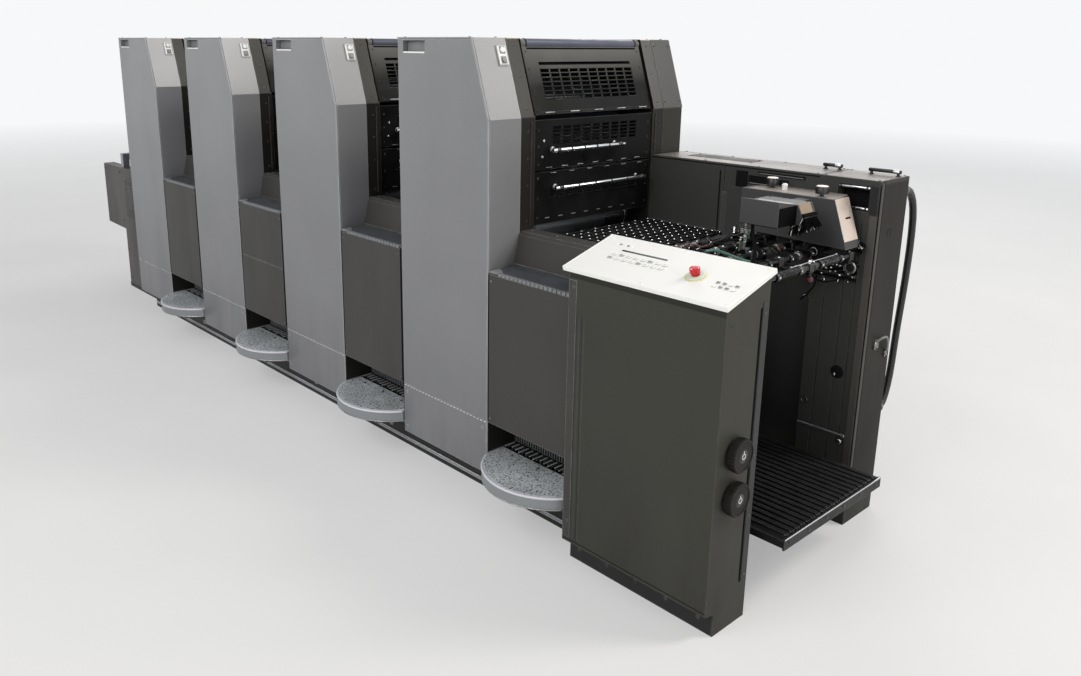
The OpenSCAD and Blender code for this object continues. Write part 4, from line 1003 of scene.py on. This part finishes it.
def console_fittings():
    """Strips, seams, a darker strip under the panel as painted shadow, and screws of
    the console's body.
    """
    s = Shape()
    x0, x1, y0, y1 = CONSOLE_X0, CONSOLE_X1, -565, -Y_OUT
    s.box((x0 + 3, y0 - 0.6, 86), (x1 - 3, y0 + 2, 89), "foam_black", 0.6)
    # Painted shadow: a darker strip along the console front under the panel.
    s.box((x0 + 4, y0 - 1.4, 925), (x1 - 2, y0 + 3, 938), "console_dark")
    s.box((x1 - 3, y1 - 39, 122), (x1 + 0.6, y1 - 30, 922), "jet", 0.8)
    s.box((x0 + 0.6, y0 - 0.8, 92), (x0 + 31, y0 + 1, 920), "cover_grey", 0.6)
    for dx, wide, look in ((31, 2.4, "console_dark"), (42, 5, "console_side"),
                           (54, 2.4, "console_dark"), (60, 6, "console_side")):
        s.box((x0 + dx, y0 - 0.6, 92), (x0 + dx + wide, y0 + 1, 812), look, 0.4)
    s.box((x1 - 1, y1 - 28, 122), (x1 + 2.4, y1 - 4, 936), "console_side")
    for z in (150, 900):
        s.screws([(x0 + 20, y0, z), (x1 - 20, y0, z)], FRONT, 3.6, "console_paint")
    s.screws(grid(x1 + 2.4, y1 - 16, (140, 320, 500, 690, 905)), RIGHT, 3.4)
    s.screws(grid(x1, y0 + 24, (110, 520, 900)), RIGHT, 3.6, "console_paint")
    s.screws([(x0 + 40 + 112 * k, y0 + 40, 40) for k in range(5)], FRONT, 6)
    s.box((x0 + 2, y0 + 38.6, 2), (x1 - 2, y0 + 41, 66), "plinth_black")
    piece("console_fittings", s)


panel_fittings()
stop_button()
dial("console_dial_upper", 538)
dial("console_dial_lower", 411)
console_fittings()


# Delivery

COLUMN_X, DELIVERY_X1, COLUMN_Y, HOUSING_H = 2289, 2489, 505, 1176
HEAD_X1, HEAD_TOP, REAR_TOP = 2406, 1129, 1123
ROD_Z, ROD_XS = 946, (2044, 2144, 2244, 2344, 2444)
ROD_BOSS = [(16, 0), (16, 3), (13, 6), (9.5, 7)]
GRID_X0, GRID_L, GRID_Z = 1596, 340, 931
LIFT_X, LIFT_YS = 2091.1, (-230, 230)


def grid_fittings():
    """Studs on the grid, its edge strips, and a bar with rings at its end."""
    s = Shape()
    rows, columns = 10, 17
    for a in range(rows):
        x = GRID_X0 + a * GRID_L / (rows - 1)
        at_end = a in (0, rows - 1)
        for b in range(0, columns, 2 if at_end else 1):
            s.rivet((min(max(x, GRID_X0 + 6), GRID_X0 + GRID_L - 6),
                     -298 + b * 596 / (columns - 1), GRID_Z), UP, 4)
    for y0, y1 in ((-310, -304), (304, 309.5)):
        s.box((1597, y0, 924), (1935, y1, 933.5), "screw_steel")
    s.lathe((1944, 0, 918), BACK, collar(6, 300, 8, 296), "bright_steel", 20)
    for y in range(-270, 271, 60):
        s.lathe((1944, y, 918), BACK, collar(11, 7, 12, 6), "black_plastic", 20)
    piece("grid_fittings", s)


def rod_fittings():
    """Springs, set screws, stock wheels, a bright wire along the top of the last rod
    as a painted highlight, another wire and hoses on the cross rods.
    """
    s = Shape()
    for k, x in enumerate(ROD_XS):
        for y in (-180, -60, 60, 180):
            s.lathe((x, y, ROD_Z), BACK, collar(13.2, 7.6, 13.6, 7),
                    "screw_black" if (k + y // 60) % 2 else "black_plastic", 24)
            s.screw((x + 13, y, ROD_Z), RIGHT, 3.4, "bright_steel")
        if k % 2 == 0:
            for y in (-120, 120):
                s.spring((x, y - 48, ROD_Z), (x, y + 48, ROD_Z), 11.4, 1.3, 11, "screw_black")
        s.lathe((x, -306, ROD_Z), BACK, ROD_BOSS, "screw_black")
        if x < COLUMN_X - 20:
            s.lathe((x, 306, ROD_Z), FRONT, ROD_BOSS, "screw_black")
    first, last = ROD_XS[0], ROD_XS[-1]
    # Painted highlight: a thin bright wire laid along the top of the last rod.
    z = ROD_Z + 15.6
    s.rod((last, -104, z), (last, 158, z), 1.7, "bright_steel", 12)
    for y in (-104, 158):
        s.lathe((last, y, z), BACK, collar(3.6, 4, 4, 3), "screw_steel", 16)
    s.tube([(2138, -145, 964), (2098, 49, 964), (2083, 197, 964)], 2.4, "bright_steel")
    s.lathe((first, 0, ROD_Z), BACK, [(9.4, -96), (10.4, -94), (10.4, 82), (9.4, 84)],
            "screw_steel")
    for y in (-240, 0, 240):
        s.box((first - 8, y - 9, ROD_Z - 26), (last + 8, y + 9, ROD_Z - 12), "guard_black", 2)
        for x in ROD_XS:
            s.box((x - 12, y - 11, ROD_Z - 14), (x + 12, y + 11, ROD_Z + 12), "screw_black", 2)
            s.screw((x, y, ROD_Z + 12), UP, 4, "bright_steel")
    for x, y in zip(ROD_XS[1:], (-150, 30, 210)):
        s.lathe((x, y, ROD_Z), BACK, collar(22, 6, 24, 4), "foam_black", 32)
        s.lathe((x, y, ROD_Z), BACK, collar(14, 7.4, 12, 8), "screw_steel", closed=True)
    for k, y, r, look in ((4, -52, 15, "screw_black"), (4, 22, 14, "screw_black"),
                          (1, 96, 14, "tan_plate"), (2, -106, 14, "screw_steel"),
                          (3, 108, 14, "screw_steel"), (0, -112, 14, "stop_dark"),
                          (2, 150, 14, "tan_plate"), (1, -40, 14, "screw_steel")):
        s.lathe((ROD_XS[k], y, ROD_Z), BACK, collar(r - 3, 9, r, 7), look, 24)
        s.screw((ROD_XS[k], y, ROD_Z + r - 1), UP, 4, "bright_steel")
    s.lathe((last, 8, 0), UP, [(5, 934), (5, 918), (10, 915), (11, 912), (11, 903), (8, 900)],
            "stop_dark")
    s.screw((last, 2, ROD_Z + 16), UP, 7, "bright_steel", 6)
    for k, (x, y) in enumerate(((2056, 196), (2076, 214), (2098, 204), (2118, 222), (2066, 232),
                                (2108, 186))):
        top = 984 + (k * 7) % 18
        s.spring((x, y, 962), (x, y, top), 6, 1.5, 5, ("bright_steel", "bristle")[k % 2])
        s.lathe((x, y, top), UP, [(7, 0), (7.4, 1), (7.4, 4), (5, 5.4), (1, 5.6)],
                ("screw_black", "bright_steel", "bristle")[k % 3], 16)
        s.lathe((x, y, 956), UP, [(8, 0), (8, 5), (6, 7)], "black_plastic", 16)
    s.box((2044, 180, 954), (2130, 240, 959), "guard_black", 1.5)
    for k in range(30):
        x, y = 2040 + 5.2 * k + (k * 7) % 11, 286 - 9.6 * k + (k * 13) % 31
        top = 966 + (k * 11) % 23
        s.rod((x, y, 950), (x + 2, y, top), 2.6,
              ("screw_black", "grey_plastic", "green_hose")[k % 3], 8)
        s.rivet((x + 2, y, top), UP, 3.4 + k % 3,
                ("bristle", "screw_steel", "grey_plastic", "bright_steel")[k % 4])
    s.tube([(2174, -136, 968), (2206, -128, 974), (2254, -147, 976),
            (2299, -161, 974), (2338, -149, 966)], 4.2, "green_hose")
    s.tube([(2092, -144, 966), (2088, -108, 970), (2103, -98, 970),
            (2132, -94, 968), (2123, -26, 962)], 3.2, "stop_dark")
    s.tube([(2052, -286, 962), (2130, -276, 966), (2230, -250, 963), (2330, -222, 968),
            (2392, -214, 960), (2420, -200, 948)], 4, "blue_hose")
    s.tube([(2088, 60, 956), (2150, 92, 968), (2210, 126, 966), (2290, 74, 962),
            (2330, 40, 956)], 3.4, "foam_black")
    piece("rod_fittings", s)


def jogger_fittings():
    """Side guide under the rods near the column, with its clamps and knob."""
    s = Shape()
    s.box((2296, 299, 846), (2452, 306, 892), "guard_black", 2)
    s.rod((2300, 290, 868), (2450, 290, 868), 6, "screw_black")
    for k in range(14):
        x, y, z = 2346 + 7.4 * k, 268 + (k * 11) % 21, 866 + (k * 17) % 44
        s.rivet((x, y, z), (0.4, -1, 0.5), 2.6 + k % 3, ("bright_steel", "bristle")[k % 2], 10)
        s.rod((x, y, z), (x + 3, 300, z - 4), 1.6, "screw_black", 8, 0.3)
    for x, z in ((2335, 838), (2382, 843), (2416, 847)):
        s.lathe((x, 306, z), FRONT, [(7, 0), (7, 5), (5.4, 7), (2, 7.4)], "bright_steel", 20)
    s.lathe((2338, 200, 0), UP, [(4, 934), (4, 890), (10, 888), (11, 884), (11, 876), (8, 872)],
            "stop_dark", 28)
    s.lathe((2338, 200, 0), UP, [(7.6, 898), (8, 896), (8, 890), (7.6, 889)], "bright_steel")
    s.lathe((2443, 262, 903), FRONT, [(18, 0), (19.6, 1.5), (19.6, 5), (18, 6.5), (14, 6.5),
                                      (14, 0)], "screw_steel", 36, closed=True)
    s.lathe((2443, 262, 903), FRONT, [(14, 2), (14, 5), (4, 6)], "black_plastic", 28)
    s.screws([(2443 + 18 * u, 253.5, 903 + 18 * v) for u, v in circle(6)], FRONT, 2.6)
    s.box((2436, 262, 896), (2450, 306, 910), "guard_black", 2)
    for k in range(9):
        x = 2306 + 14 * k
        s.rod((x, 292, 892), (x + 3, 268, 902), 2, ("brass", "bright_steel", "screw_steel")[k % 3],
              8, 0.4)
        s.rivet((x + 3, 268, 902), (0, -1, 0.4), 3.4, "bright_steel", 10)
    s.tube([(2300, 280, 900), (2310, 262, 872), (2330, 250, 850), (2360, 252, 842),
            (2384, 268, 846), (2392, 290, 850)], 3, "foam_black")
    s.tube([(2316, 296, 846), (2312, 290, 812), (2296, 292, 788), (2282, 298, 770),
            (2262, 302, 752)], 3.4, "foam_black")
    for x, z in ((2274, 783), (2240, 746), (2262, 748)):
        s.lathe((x, 374, z), FRONT, [(8, 0), (8, 3), (6, 5), (2, 5.5)], "bright_steel", 16)
    piece("jogger_fittings", s)


def brush(s, place, width, count, length, lean, pale):
    """Fan of bristles under a dark holder, with a few pale ones."""
    for k in range(count):
        step = (k * 7) % count / (count - 1) - 0.5
        start = Vector(place) + Vector((-4 * (k % 3), step * width, 0))
        aim = Vector((lean + 0.7 * (((k * 5) % count) / (count - 1) - 0.5), step * 1.5, -1))
        s.rod(start, start + aim.normalized() * (length + (k * 7) % 9), 1.9,
              "bristle" if k % pale == 1 else "jet", 6, 0.3)


def head_fittings():
    """Knobs, pale and tan plates on the sloped ends as painted highlights, lighter
    plates on the tops as painted light, seams, brushes and a hose of the
    delivery's two heads.
    """
    s = Shape()
    x1, top = HEAD_X1, HEAD_TOP
    for x, y in ((x1 - 252, 248), (x1 - 52, 204)):
        z = REAR_TOP + 11
        s.lathe((x, y, z), UP, [(19, 0), (20.8, 1.5), (20.8, 19), (19.4, 21.4), (17, 22)],
                "black_plastic", 12)
        s.lathe((x, y, z), UP, [(17.6, 21.4), (18.4, 22.6), (17, 24), (2, 24.6)], "pale_plate", 28)
    s.lathe((x1 - 202, 240, REAR_TOP), UP, [(8.6, 0), (8.6, 14), (10, 15), (7, 21), (2, 22)],
            "panel_white")
    s.screws(grid((x1 - 310, x1 - 160, x1 - 12), (190, 258), REAR_TOP), UP, 3, "head_grey")
    s.screws(grid((x1 - 140, x1 - 14), 50, top), UP, 3, "head_grey")
    s.screws(grid((x1 - 290, x1 - 110), 180, (1000, 1095)), FRONT, 3, "head_grey")
    # Painted highlight: a pale plate on the rear head's sloped end.
    s.at = axes((x1 + 4, 224, REAR_TOP), (44, 0, -127), (127, 0, 44))
    s.box((-1, -43.4, -0.6), (134, 43.4, 1.4), "pale_plate", 0.8)
    s.box((60, -6, 1), (66, 26, 2), "foam_black", 0.4)
    s.box((1, -44, -1), (133, -41.4, 2.2), "bright_steel", 0.6)
    # Painted highlight: a tan plate on the front head's sloped end.
    s.at = axes((x1 - 4, 20, top), (18, 0, -37), (37, 0, 18))
    s.box((-1, -39.4, -0.6), (30, 26, 1.4), "tan_plate", 0.8)
    s.box((30, -39.4, -1), (41, 39.4, 5), "jet", 1.5)
    s.at = Matrix.Identity(4)
    # Painted light: lighter plates on the tops of the heads.
    s.box((x1 - 300, 186, REAR_TOP - 1), (x1 - 6, 262, REAR_TOP + 1.2), "head_top", 0.8)
    s.box((x1 - 128, -106, top + 3), (x1 - 16, -24, top - 2), "head_top", 0.6)
    s.box((x1 - 262, 258, REAR_TOP - 5), (x1 - 20, 309, REAR_TOP + 1), "head_top", 1.5)
    s.box((x1 - 138, -113, top - 61), (x1 - 14, -22, top - 55), "foam_black", 1.5)
    s.box((x1 - 15, -112.4, top - 58), (x1 - 6.6, -20, top - 2), "jet", 1.2)
    s.box((x1 - 148, -18, top - 67), (x1 - 4, 58, top - 59), "guard_black", 1.5)
    s.box((x1 - 6, -18, top - 64), (x1 + 10, 58, top - 38), "jet", 1.5)
    brush(s, (x1 + 17, 18, top - 38), 70, 72, 34, 0.25, 6)
    brush(s, (x1 + 2, -16, top - 60), 60, 34, 26, 0.1, 9)
    s.box((x1 + 20, 262, 978), (x1 + 52, 276, 992), "plinth_black", 1.5)
    brush(s, (x1 + 50, 276, 984), 22, 16, 18, 1.2, 3)
    s.tube([(x1 - 120, -66, top - 57), (x1 - 116, -70, top - 90), (x1 - 100, -84, top - 118),
            (x1 - 84, -100, top - 146), (x1 - 80, -110, top - 168)], 5, "foam_black")
    piece("head_fittings", s)


def housing_fittings():
    """Slots, plates, a lighter plate on the top as painted light, louvres, latches,
    screws and lifting handles of the housing.
    """
    s = Shape()
    y = Y_IN
    for x in (1606, 1900, 2278):
        s.screws(grid(x, y, (960, 1158)), FRONT, 3.2, "housing_dark")
    s.box((1600, y - 2, 1168), (2286, y + 1, 1172), "foam_black", 0.8)
    s.box((1922, y - 7, 858), (2012, y + 1, 1078), "head_grey", 2)
    s.screws(grid((1930, 2004), y - 7, (868, 1068)), FRONT, 3, "head_grey")
    s.box((1905, y - 1, 858), (1911, y + 1, 1150), "foam_black", 0.6)
    s.box((1974, y - 3, 1086), (2020, y + 1, 1158), "foam_black", 1.2)
    for x0, x1, z0, z1 in ((2024, 2104, 1116, 1146), (2142, 2176, 1118, 1142),
                           (2060, 2236, 1152, 1162)):
        s.box((x0, y - 3, z0), (x1, y + 1, z1), "foam_black", 1.2)
        s.rod((x0 + 5, y - 4, z0 + 4), (x1 - 5, y - 4, z0 + 4), 1.5, "grey_plastic", 8)
    s.screws(grid((1620, 1830, 2050, 2270), (326, 499), HOUSING_H), UP)
    # Painted light: a lighter plate over the top of the housing.
    s.box((1604, 318, HOUSING_H - 0.5), (2284, 508, HOUSING_H + 1), "top_brown", 0.6)
    s.box((1700, 392, HOUSING_H - 1), (1980, 470, HOUSING_H + 2), "column_edge", 1.5)
    s.screws(grid((1712, 1968), (402, 460), HOUSING_H + 2), UP, 4)
    for z, rows in ((980, 6), (300, 10)):
        for x0, x1 in ((1640, 1790), (1870, 2030), (2090, 2250)):
            s.louvres(x0, x1, Y_HOUSING, z, rows, 22, FLAT_LOUVRE, "housing_dark")
    for x in (1812, 2046):
        for z in (200, 780, 930, 1120):
            s.screws([(x, Y_HOUSING, z), (x + 30, Y_HOUSING, z)], BACK, 6)
    for x in (1680, 2200):
        s.latch(x, Y_HOUSING, 760)
    for x, length in ((COLUMN_X - 72, 66), (DELIVERY_X1 - 112, 104)):
        y, z = 458, HOUSING_H + 15
        for dx in (8, length - 8):
            s.lathe((x + dx, y, HOUSING_H), UP, [(9, 0), (9, 2), (6, 4), (4.6, 5), (4.6, 11)],
                    "black_plastic", 20)
        s.lathe((x, y, z), RIGHT, [(5, -1), (6.2, 1), (6.2, length - 1), (5, length + 1)],
                "black_plastic", 20)
        s.lathe((x + length, y, z), LEFT, [(6.6, 4), (7, 6), (7, 22), (6.6, 24)],
                "bright_steel", 20)
    piece("housing_fittings", s)


def column_fittings():
    """Guide rods, edge strips, plugs, a cable grip and screws of the column, with a
    lighter plate on its top as painted light and a small bright dome on a plug as
    a painted glint.
    """
    s = Shape()
    x1 = DELIVERY_X1
    for z, x in ((1150, 2352), (1083, 2404)):
        s.lathe((x, 318, z), RIGHT, [(5.4, 0), (5.8, 1), (5.8, 2453 - x), (5.4, 2454 - x)],
                "bright_steel", 20)
        for end in (x + 8, 2446):
            s.lathe((end, 318, z), RIGHT, collar(7, 3, 7.6, 2), "black_plastic", 16)
    s.box((2351, 352, 1078), (2456, 356.6, 1156), "foam_black")
    s.box((2459, 306, 1070), (x1 - 1, 311, 1160), "plinth_black")
    s.box((x1 - 1, 311, 62), (x1 + 1.6, 317, 1166), "jet", 0.8)
    s.box((x1 - 1, 318, 62), (x1 + 1.6, 334, 1166), "column_edge", 0.8)
    s.box((x1 - 0.5, 338, 64), (x1 + 1.2, 503, 1164), "column_face", 0.8)
    s.box((2464, 308.6, 62), (x1 - 1.4, 311, 1066), "column_edge", 0.8)
    # Painted light: a lighter plate over the top of the column.
    s.box((2293, 314, HOUSING_H - 0.5), (2486, 502, HOUSING_H + 1), "top_brown", 0.6)
    s.box((2291, 304, 313), (x1 - 26, 311, 322), "screw_steel", 1.5)
    s.lathe((2413, Y_IN, 533), FRONT, [(22, 0), (22, 2), (19, 4), (15, 5), (3, 5)],
            "foam_black", 32)
    # Painted glint: a small bright dome off the middle of the black plug.
    s.lathe((2405, Y_IN - 4, 524), FRONT, [(5, 0), (5, 3), (3.6, 4.4), (1, 4.6)],
            "bright_steel", 16)
    s.lathe((2447, Y_IN, 295), FRONT, [(13, 0), (13, 2), (11, 3.4), (2, 3.4)], "foam_black", 28)
    s.lathe((2447, Y_IN - 3, 295), FRONT, [(8.4, 0), (8.4, 3.4), (6.4, 5), (1, 5.4)],
            "bright_steel")
    s.lathe((2306, Y_IN, 402), FRONT, [(13, 0), (13, 3), (8, 3), (8, 0)], "screw_steel",
            closed=True)
    for yy, z, r in ((397, 628, 19), (474, 582, 13)):
        s.lathe((x1, yy, z), RIGHT, [(r, 0), (r, 4), (r - 2, 6), (r - 5, 6), (r - 6, 2)],
                "black_plastic", 32)
        s.lathe((x1, yy, z), RIGHT, [(r - 6.4, 1), (r - 6.4, 4), (r - 9, 7), (1, 7.4)],
                "screw_steel")
        for u, v in circle(4, math.pi / 4):
            s.rivet((x1 + 6, yy + (r - 3.4) * u, z + (r - 3.4) * v), RIGHT, 1.7)
    s.tube([(x1 + 6, 397, 640), (x1 + 16, 410, 652), (x1 + 18, 440, 648), (x1 + 12, 466, 614),
            (x1 + 6, 474, 590)], 4, "grey_plastic")
    s.lathe((x1, 399, 1005), RIGHT, [(13, 0), (13, 1.2), (12.4, 1.8), (11, 1.8), (11, -6),
                                     (13, -6)], "foam_black", 28, closed=True)
    s.screws(grid(x1, (350, 494), (90, 400, 760, 1140)), RIGHT, 3.6, "column_face")
    s.screws(grid((2302, 2440), COLUMN_Y, (90, 420, 760, 1140)), BACK)
    s.screws(grid((2300, 2478), (322, 494), HOUSING_H), UP)
    s.box((x1 - 60, COLUMN_Y - 1, 660), (x1 - 4, COLUMN_Y + 10, 900), "black_plastic", 3)
    piece("column_fittings", s)


def cable_fittings():
    """Hexagon gland nuts at both ends of the cable."""
    s = Shape()
    x, y = 2470, COLUMN_Y
    for z in (1129, 370):
        s.lathe((x, y, z), BACK, [(18.4, 0.5), (19.6, 1.5), (19.6, 9), (18.4, 10), (12.4, 10),
                                  (12.4, 0.5)], "black_plastic", 6, closed=True)
        s.lathe((x, y, z), BACK, [(17.4, 10), (17.4, 16), (15.6, 22), (13.6, 24.5),
                                  (12.3, 24.5), (12.3, 10)], "grey_plastic", 28, closed=True)
        for u, v in circle(14):
            s.rod((x + 17 * u, y + 10.4, z + 17 * v), (x + 17 * u, y + 16, z + 17 * v), 1,
                  "black_plastic", 6, 0.2)
    piece("cable_glands", s)


def pile_board_fittings():
    """Edge strip, screws and bushings of the pile board."""
    s = Shape()
    s.box((2603.5, -288, 228), (2606.8, 288, 232.6), "bright_steel", 0.8)
    s.screws(grid(2606, range(-260, 261, 104), 214), RIGHT, 4.5)
    for y in range(-275, 276, 29):
        s.rod((2593, y, 238.4), (2599, y, 238.4), 2, "screw_black", 8)
    for y in LIFT_YS:
        s.lathe((LIFT_X, y, 0), UP, [(25, 270), (27, 272), (27, 277), (24.5, 279.4),
                                     (14.4, 279.4), (14.4, 270)], "brass", 32, closed=True)
        s.screws([(LIFT_X + 20 * math.cos(a), y + 20 * math.sin(a), 279)
                  for a in (0.8, 2.4, 3.9, 5.5)], UP, 2.8)
    piece("pile_board_fittings", s, "delivery_pile_board")


def lift_fittings():
    """Bearings, nuts and screws of the lifting frame."""
    s = Shape()
    for y in LIFT_YS:
        s.lathe((LIFT_X, y, 0), UP, [(17, 862), (17, 852), (20, 850), (20, 842), (17, 840),
                                     (14.2, 840), (14.2, 862)], "screw_steel", closed=True)
        s.lathe((LIFT_X, y, 904), UP, [(14, 0), (14, 6), (12, 9), (2, 9)], "screw_steel", 6)
        s.lathe((LIFT_X, y, 120), UP, [(30, 0), (30, 5), (20, 8), (14.3, 10), (14.3, 0)],
                "screw_steel", 28, closed=True)
    s.screws(grid(2091, (-290, -150, 0, 150, 290), 904), UP, 7)
    s.box((2064, -308, 868), (2066.6, 308, 874), "bright_steel", 0.8)
    piece("lift_fittings", s)


grid_fittings()
rod_fittings()
jogger_fittings()
head_fittings()
housing_fittings()
column_fittings()
cable_fittings()
pile_board_fittings()
lift_fittings()


# Feeder

FEEDER_H = 792
WHEEL = (-1790, -Y_OUT - 26, 590)  # middle of the hand wheel
TAPE_PITCH = 620 / 6


def feeder_fittings():
    """Panels, louvres, screws and rails of the feeder's sides, and a hand wheel."""
    s = Shape()
    for side in SIDES:
        y = side * Y_OUT
        out = (0, side, 0)
        s.screws(grid((-2450, -2190, -1900, -1625), y, (760, 440)), out, 6)
        s.screws(grid((-2150, -1900, -1625), y, (250, 60)), out, 6)
        s.box((-2120, y, 470), (-1700, y + side * 3, 720), "cover_grey", 2)
        s.screws(grid((-2106, -1714), y + side * 3, (484, 706)), out, 5)
        for k in range(7):
            z = 540 + 22 * k
            s.prism([(y + side * 2, z), (y + side * 8, z), (y + side * 9, z + 2),
                     (y + side * 2, z + 12)], "x", -2060, -1920, "cover_grey", 0.8)
        s.box((-2460, side * (Y_IN + 6), FEEDER_H - 1), (-1610, side * (Y_IN + 12), FEEDER_H + 5),
              "bright_steel", 1.5)
    x, y, z = WHEEL
    s.lathe((x, -Y_OUT - 3, z), FRONT, [(12, 0), (12, 18), (16, 20), (16, 30), (10, 32)],
            "rod_steel", 28)
    rim = circle(32)
    s.tube([(x + 62 * u, y, z + 62 * v) for u, v in rim + rim[:1]], 8, "dial_black", 12, 1)
    for u, v in circle(3, math.pi / 2):
        s.rod((x + 12 * u, y, z + 12 * v), (x + 60 * u, y, z + 60 * v), 5, "rod_steel", 12)
    piece("feeder_fittings", s)


def suction_fittings():
    """Bellows suckers, hoses, knobs and air pipes of the suction head."""
    s = Shape()
    x, z = -2175, FEEDER_H
    half = 120
    for k in (-3, -1, 1, 3):
        y = k * half / 3.8
        for dx in (-45, 95):
            s.lathe((x + dx, y, z - 34), UP, [(14, 0), (14.6, 1), (10, 4.5), (13.6, 8), (9.4, 12),
                                              (8, 13)], "foam_black")
            s.lathe((x + dx, y, z), UP, [(8.6, -14), (9, -12), (9, 6), (7, 8)], "brass", 6)
        s.tube([(x - 45, y, z + 108), (x - 48, y, z + 120), (x - 30, y * 0.9, z + 134),
                (x + 10, y * 0.7, z + 132), (x + 30, y * 0.6, z + 116), (x + 34, y * 0.6, z + 106)],
               5.5, "green_hose" if k > 0 else "blue_hose", 8)
    s.box((x - 60, -half + 8, z + 109), (x + 110, half - 8, z + 114), "screw_steel", 1.5)
    s.screws(grid((x - 50, x + 100), (-100, 100), z + 114), UP)
    for y in (-80, 0, 80):
        s.lathe((x + 72, y, z + 113), UP, [(5, 0), (5, 6), (13, 7), (14, 9), (14, 20), (11, 22)],
                "black_plastic", 12)
    for y in (-60, 0, 60):
        s.box((x - 69, y - 12, z + 34), (x - 61, y + 12, z + 86), "black_plastic")
    for side in SIDES:
        s.lathe((x + 20, side * 250, z + 92), UP, [(9, -3), (9, 10), (18, 11), (19, 13), (19, 22),
                                                   (16, 24)], "black_plastic", 16)
    piece("suction_fittings", s)


def table_fittings():
    """Tapes, brushes and wheels over the feed table."""
    tilt = math.radians(8)
    s = Shape(axes((-1602, 0, FEEDER_H - 74), (math.cos(tilt), 0, -math.sin(tilt)),
                   (math.sin(tilt), 0, math.cos(tilt))))
    tapes = [k * TAPE_PITCH for k in range(-2, 3)]
    for y in tapes:
        s.box((-326, y - 14, 17.6), (-4, y + 14, 19.2), "tape_cloth", 0.5)
    for x in (-250, -120):
        s.rod((x, -296, 58), (x, 296, 58), 8, "rod_steel")
        for side in SIDES:
            s.box((x - 12, side * 296, 14), (x + 12, side * 306, 70), "guard_black", 2)
        for y in tapes:
            s.box((x - 7, y - 16, 50), (x + 36, y - 11, 66), "screw_steel", 1.5)
            s.lathe((x + 32, y, 37), BACK, collar(16, 7, 17.4, 5), "foam_black", 32)
            s.lathe((x + 32, y, 37), BACK, [(9, -17), (6, -17), (6, 8.4), (9, 8.4)],
                    "bright_steel")
    for side in SIDES:
        s.box((-326, side * 304, 15), (-4, side * 296, 34), "bright_steel", 1.5)
    piece("table_fittings", s)


feeder_fittings()
suction_fittings()
table_fittings()


# Floor and light

def lamp(name, place, size, watts, colour=(1, 1, 1), aim=(0.4, 0, 0.7)):
    """A square soft box."""
    data = bpy.data.lights.new(name, "AREA")
    data.size = size
    data.energy = watts
    data.color = colour
    made = bpy.data.objects.new(name, data)
    bpy.context.scene.collection.objects.link(made)
    made.location = place
    made.rotation_euler = (Vector(aim) - made.location).to_track_quat("-Z", "Y").to_euler()


PALE = (0.93, 0.94, 0.95, 1)


def floor():
    """Pale floor that keeps the shadows near the press and fades into the
    background further out."""
    bpy.ops.mesh.primitive_plane_add(size=120, location=(0, 0, 0))
    plane = bpy.context.object
    plane.name = "floor"
    f = Finish("floor", 0.7)
    f.colour(f.mix(f.spread(f.noise(0.8, 4), 0.3, 0.7), srgb(228, 227, 225), srgb(236, 235, 233)))
    far = f.node("VectorMath", {0: f.place}, operation="LENGTH").outputs["Value"]
    pale = f.maths("MULTIPLY", f.seen(), f.spread(far, 4, 16, 0.35, 1))
    glow = f.node("Emission", {"Color": PALE}).outputs[0]
    blend = f.node("MixShader", {0: pale, 1: f.shader.outputs[0], 2: glow}).outputs[0]
    f.feed(f.tree.nodes["Material Output"], {"Surface": blend})
    plane.data.materials.append(f.material)


def surroundings(level=0.3):
    """Pale surroundings that light the press softly and show white to the
    camera and in reflections."""
    world = bpy.data.worlds.new("surroundings")
    bpy.context.scene.world = world
    world.use_nodes = True
    f = Tree(world.node_tree)
    f.feed(f.tree.nodes["Background"], {"Color": PALE,
                                        "Strength": f.spread(f.seen(), 0, 1, level, 1)})


floor()
surroundings()
lamp("key", (0.9, -6.5, 5.2), 4.5, 222)
lamp("front_right", (3.6, -5.5, 3.4), 2.2, 60, (1, 0.98, 0.95), (2.2, 0, 0.9))
lamp("window_low", (5.9, 4.2, 4.4), 1.7, 86, (1, 0.96, 0.91), (1.5, -0.4, 1.5))
lamp("window_high", (5.9, 3.1, 6.4), 1.7, 178, (1, 0.96, 0.91), (-0.6, -0.4, 1.5))
lamp("side", (6.8, -0.6, 2.2), 1.4, 40, (1, 0.98, 0.95), (1.6, -0.4, 1.2))
lamp("back", (-2.0, 6.5, 5.0), 5.0, 160)
bpy.context.scene.view_settings.view_transform = "Standard"
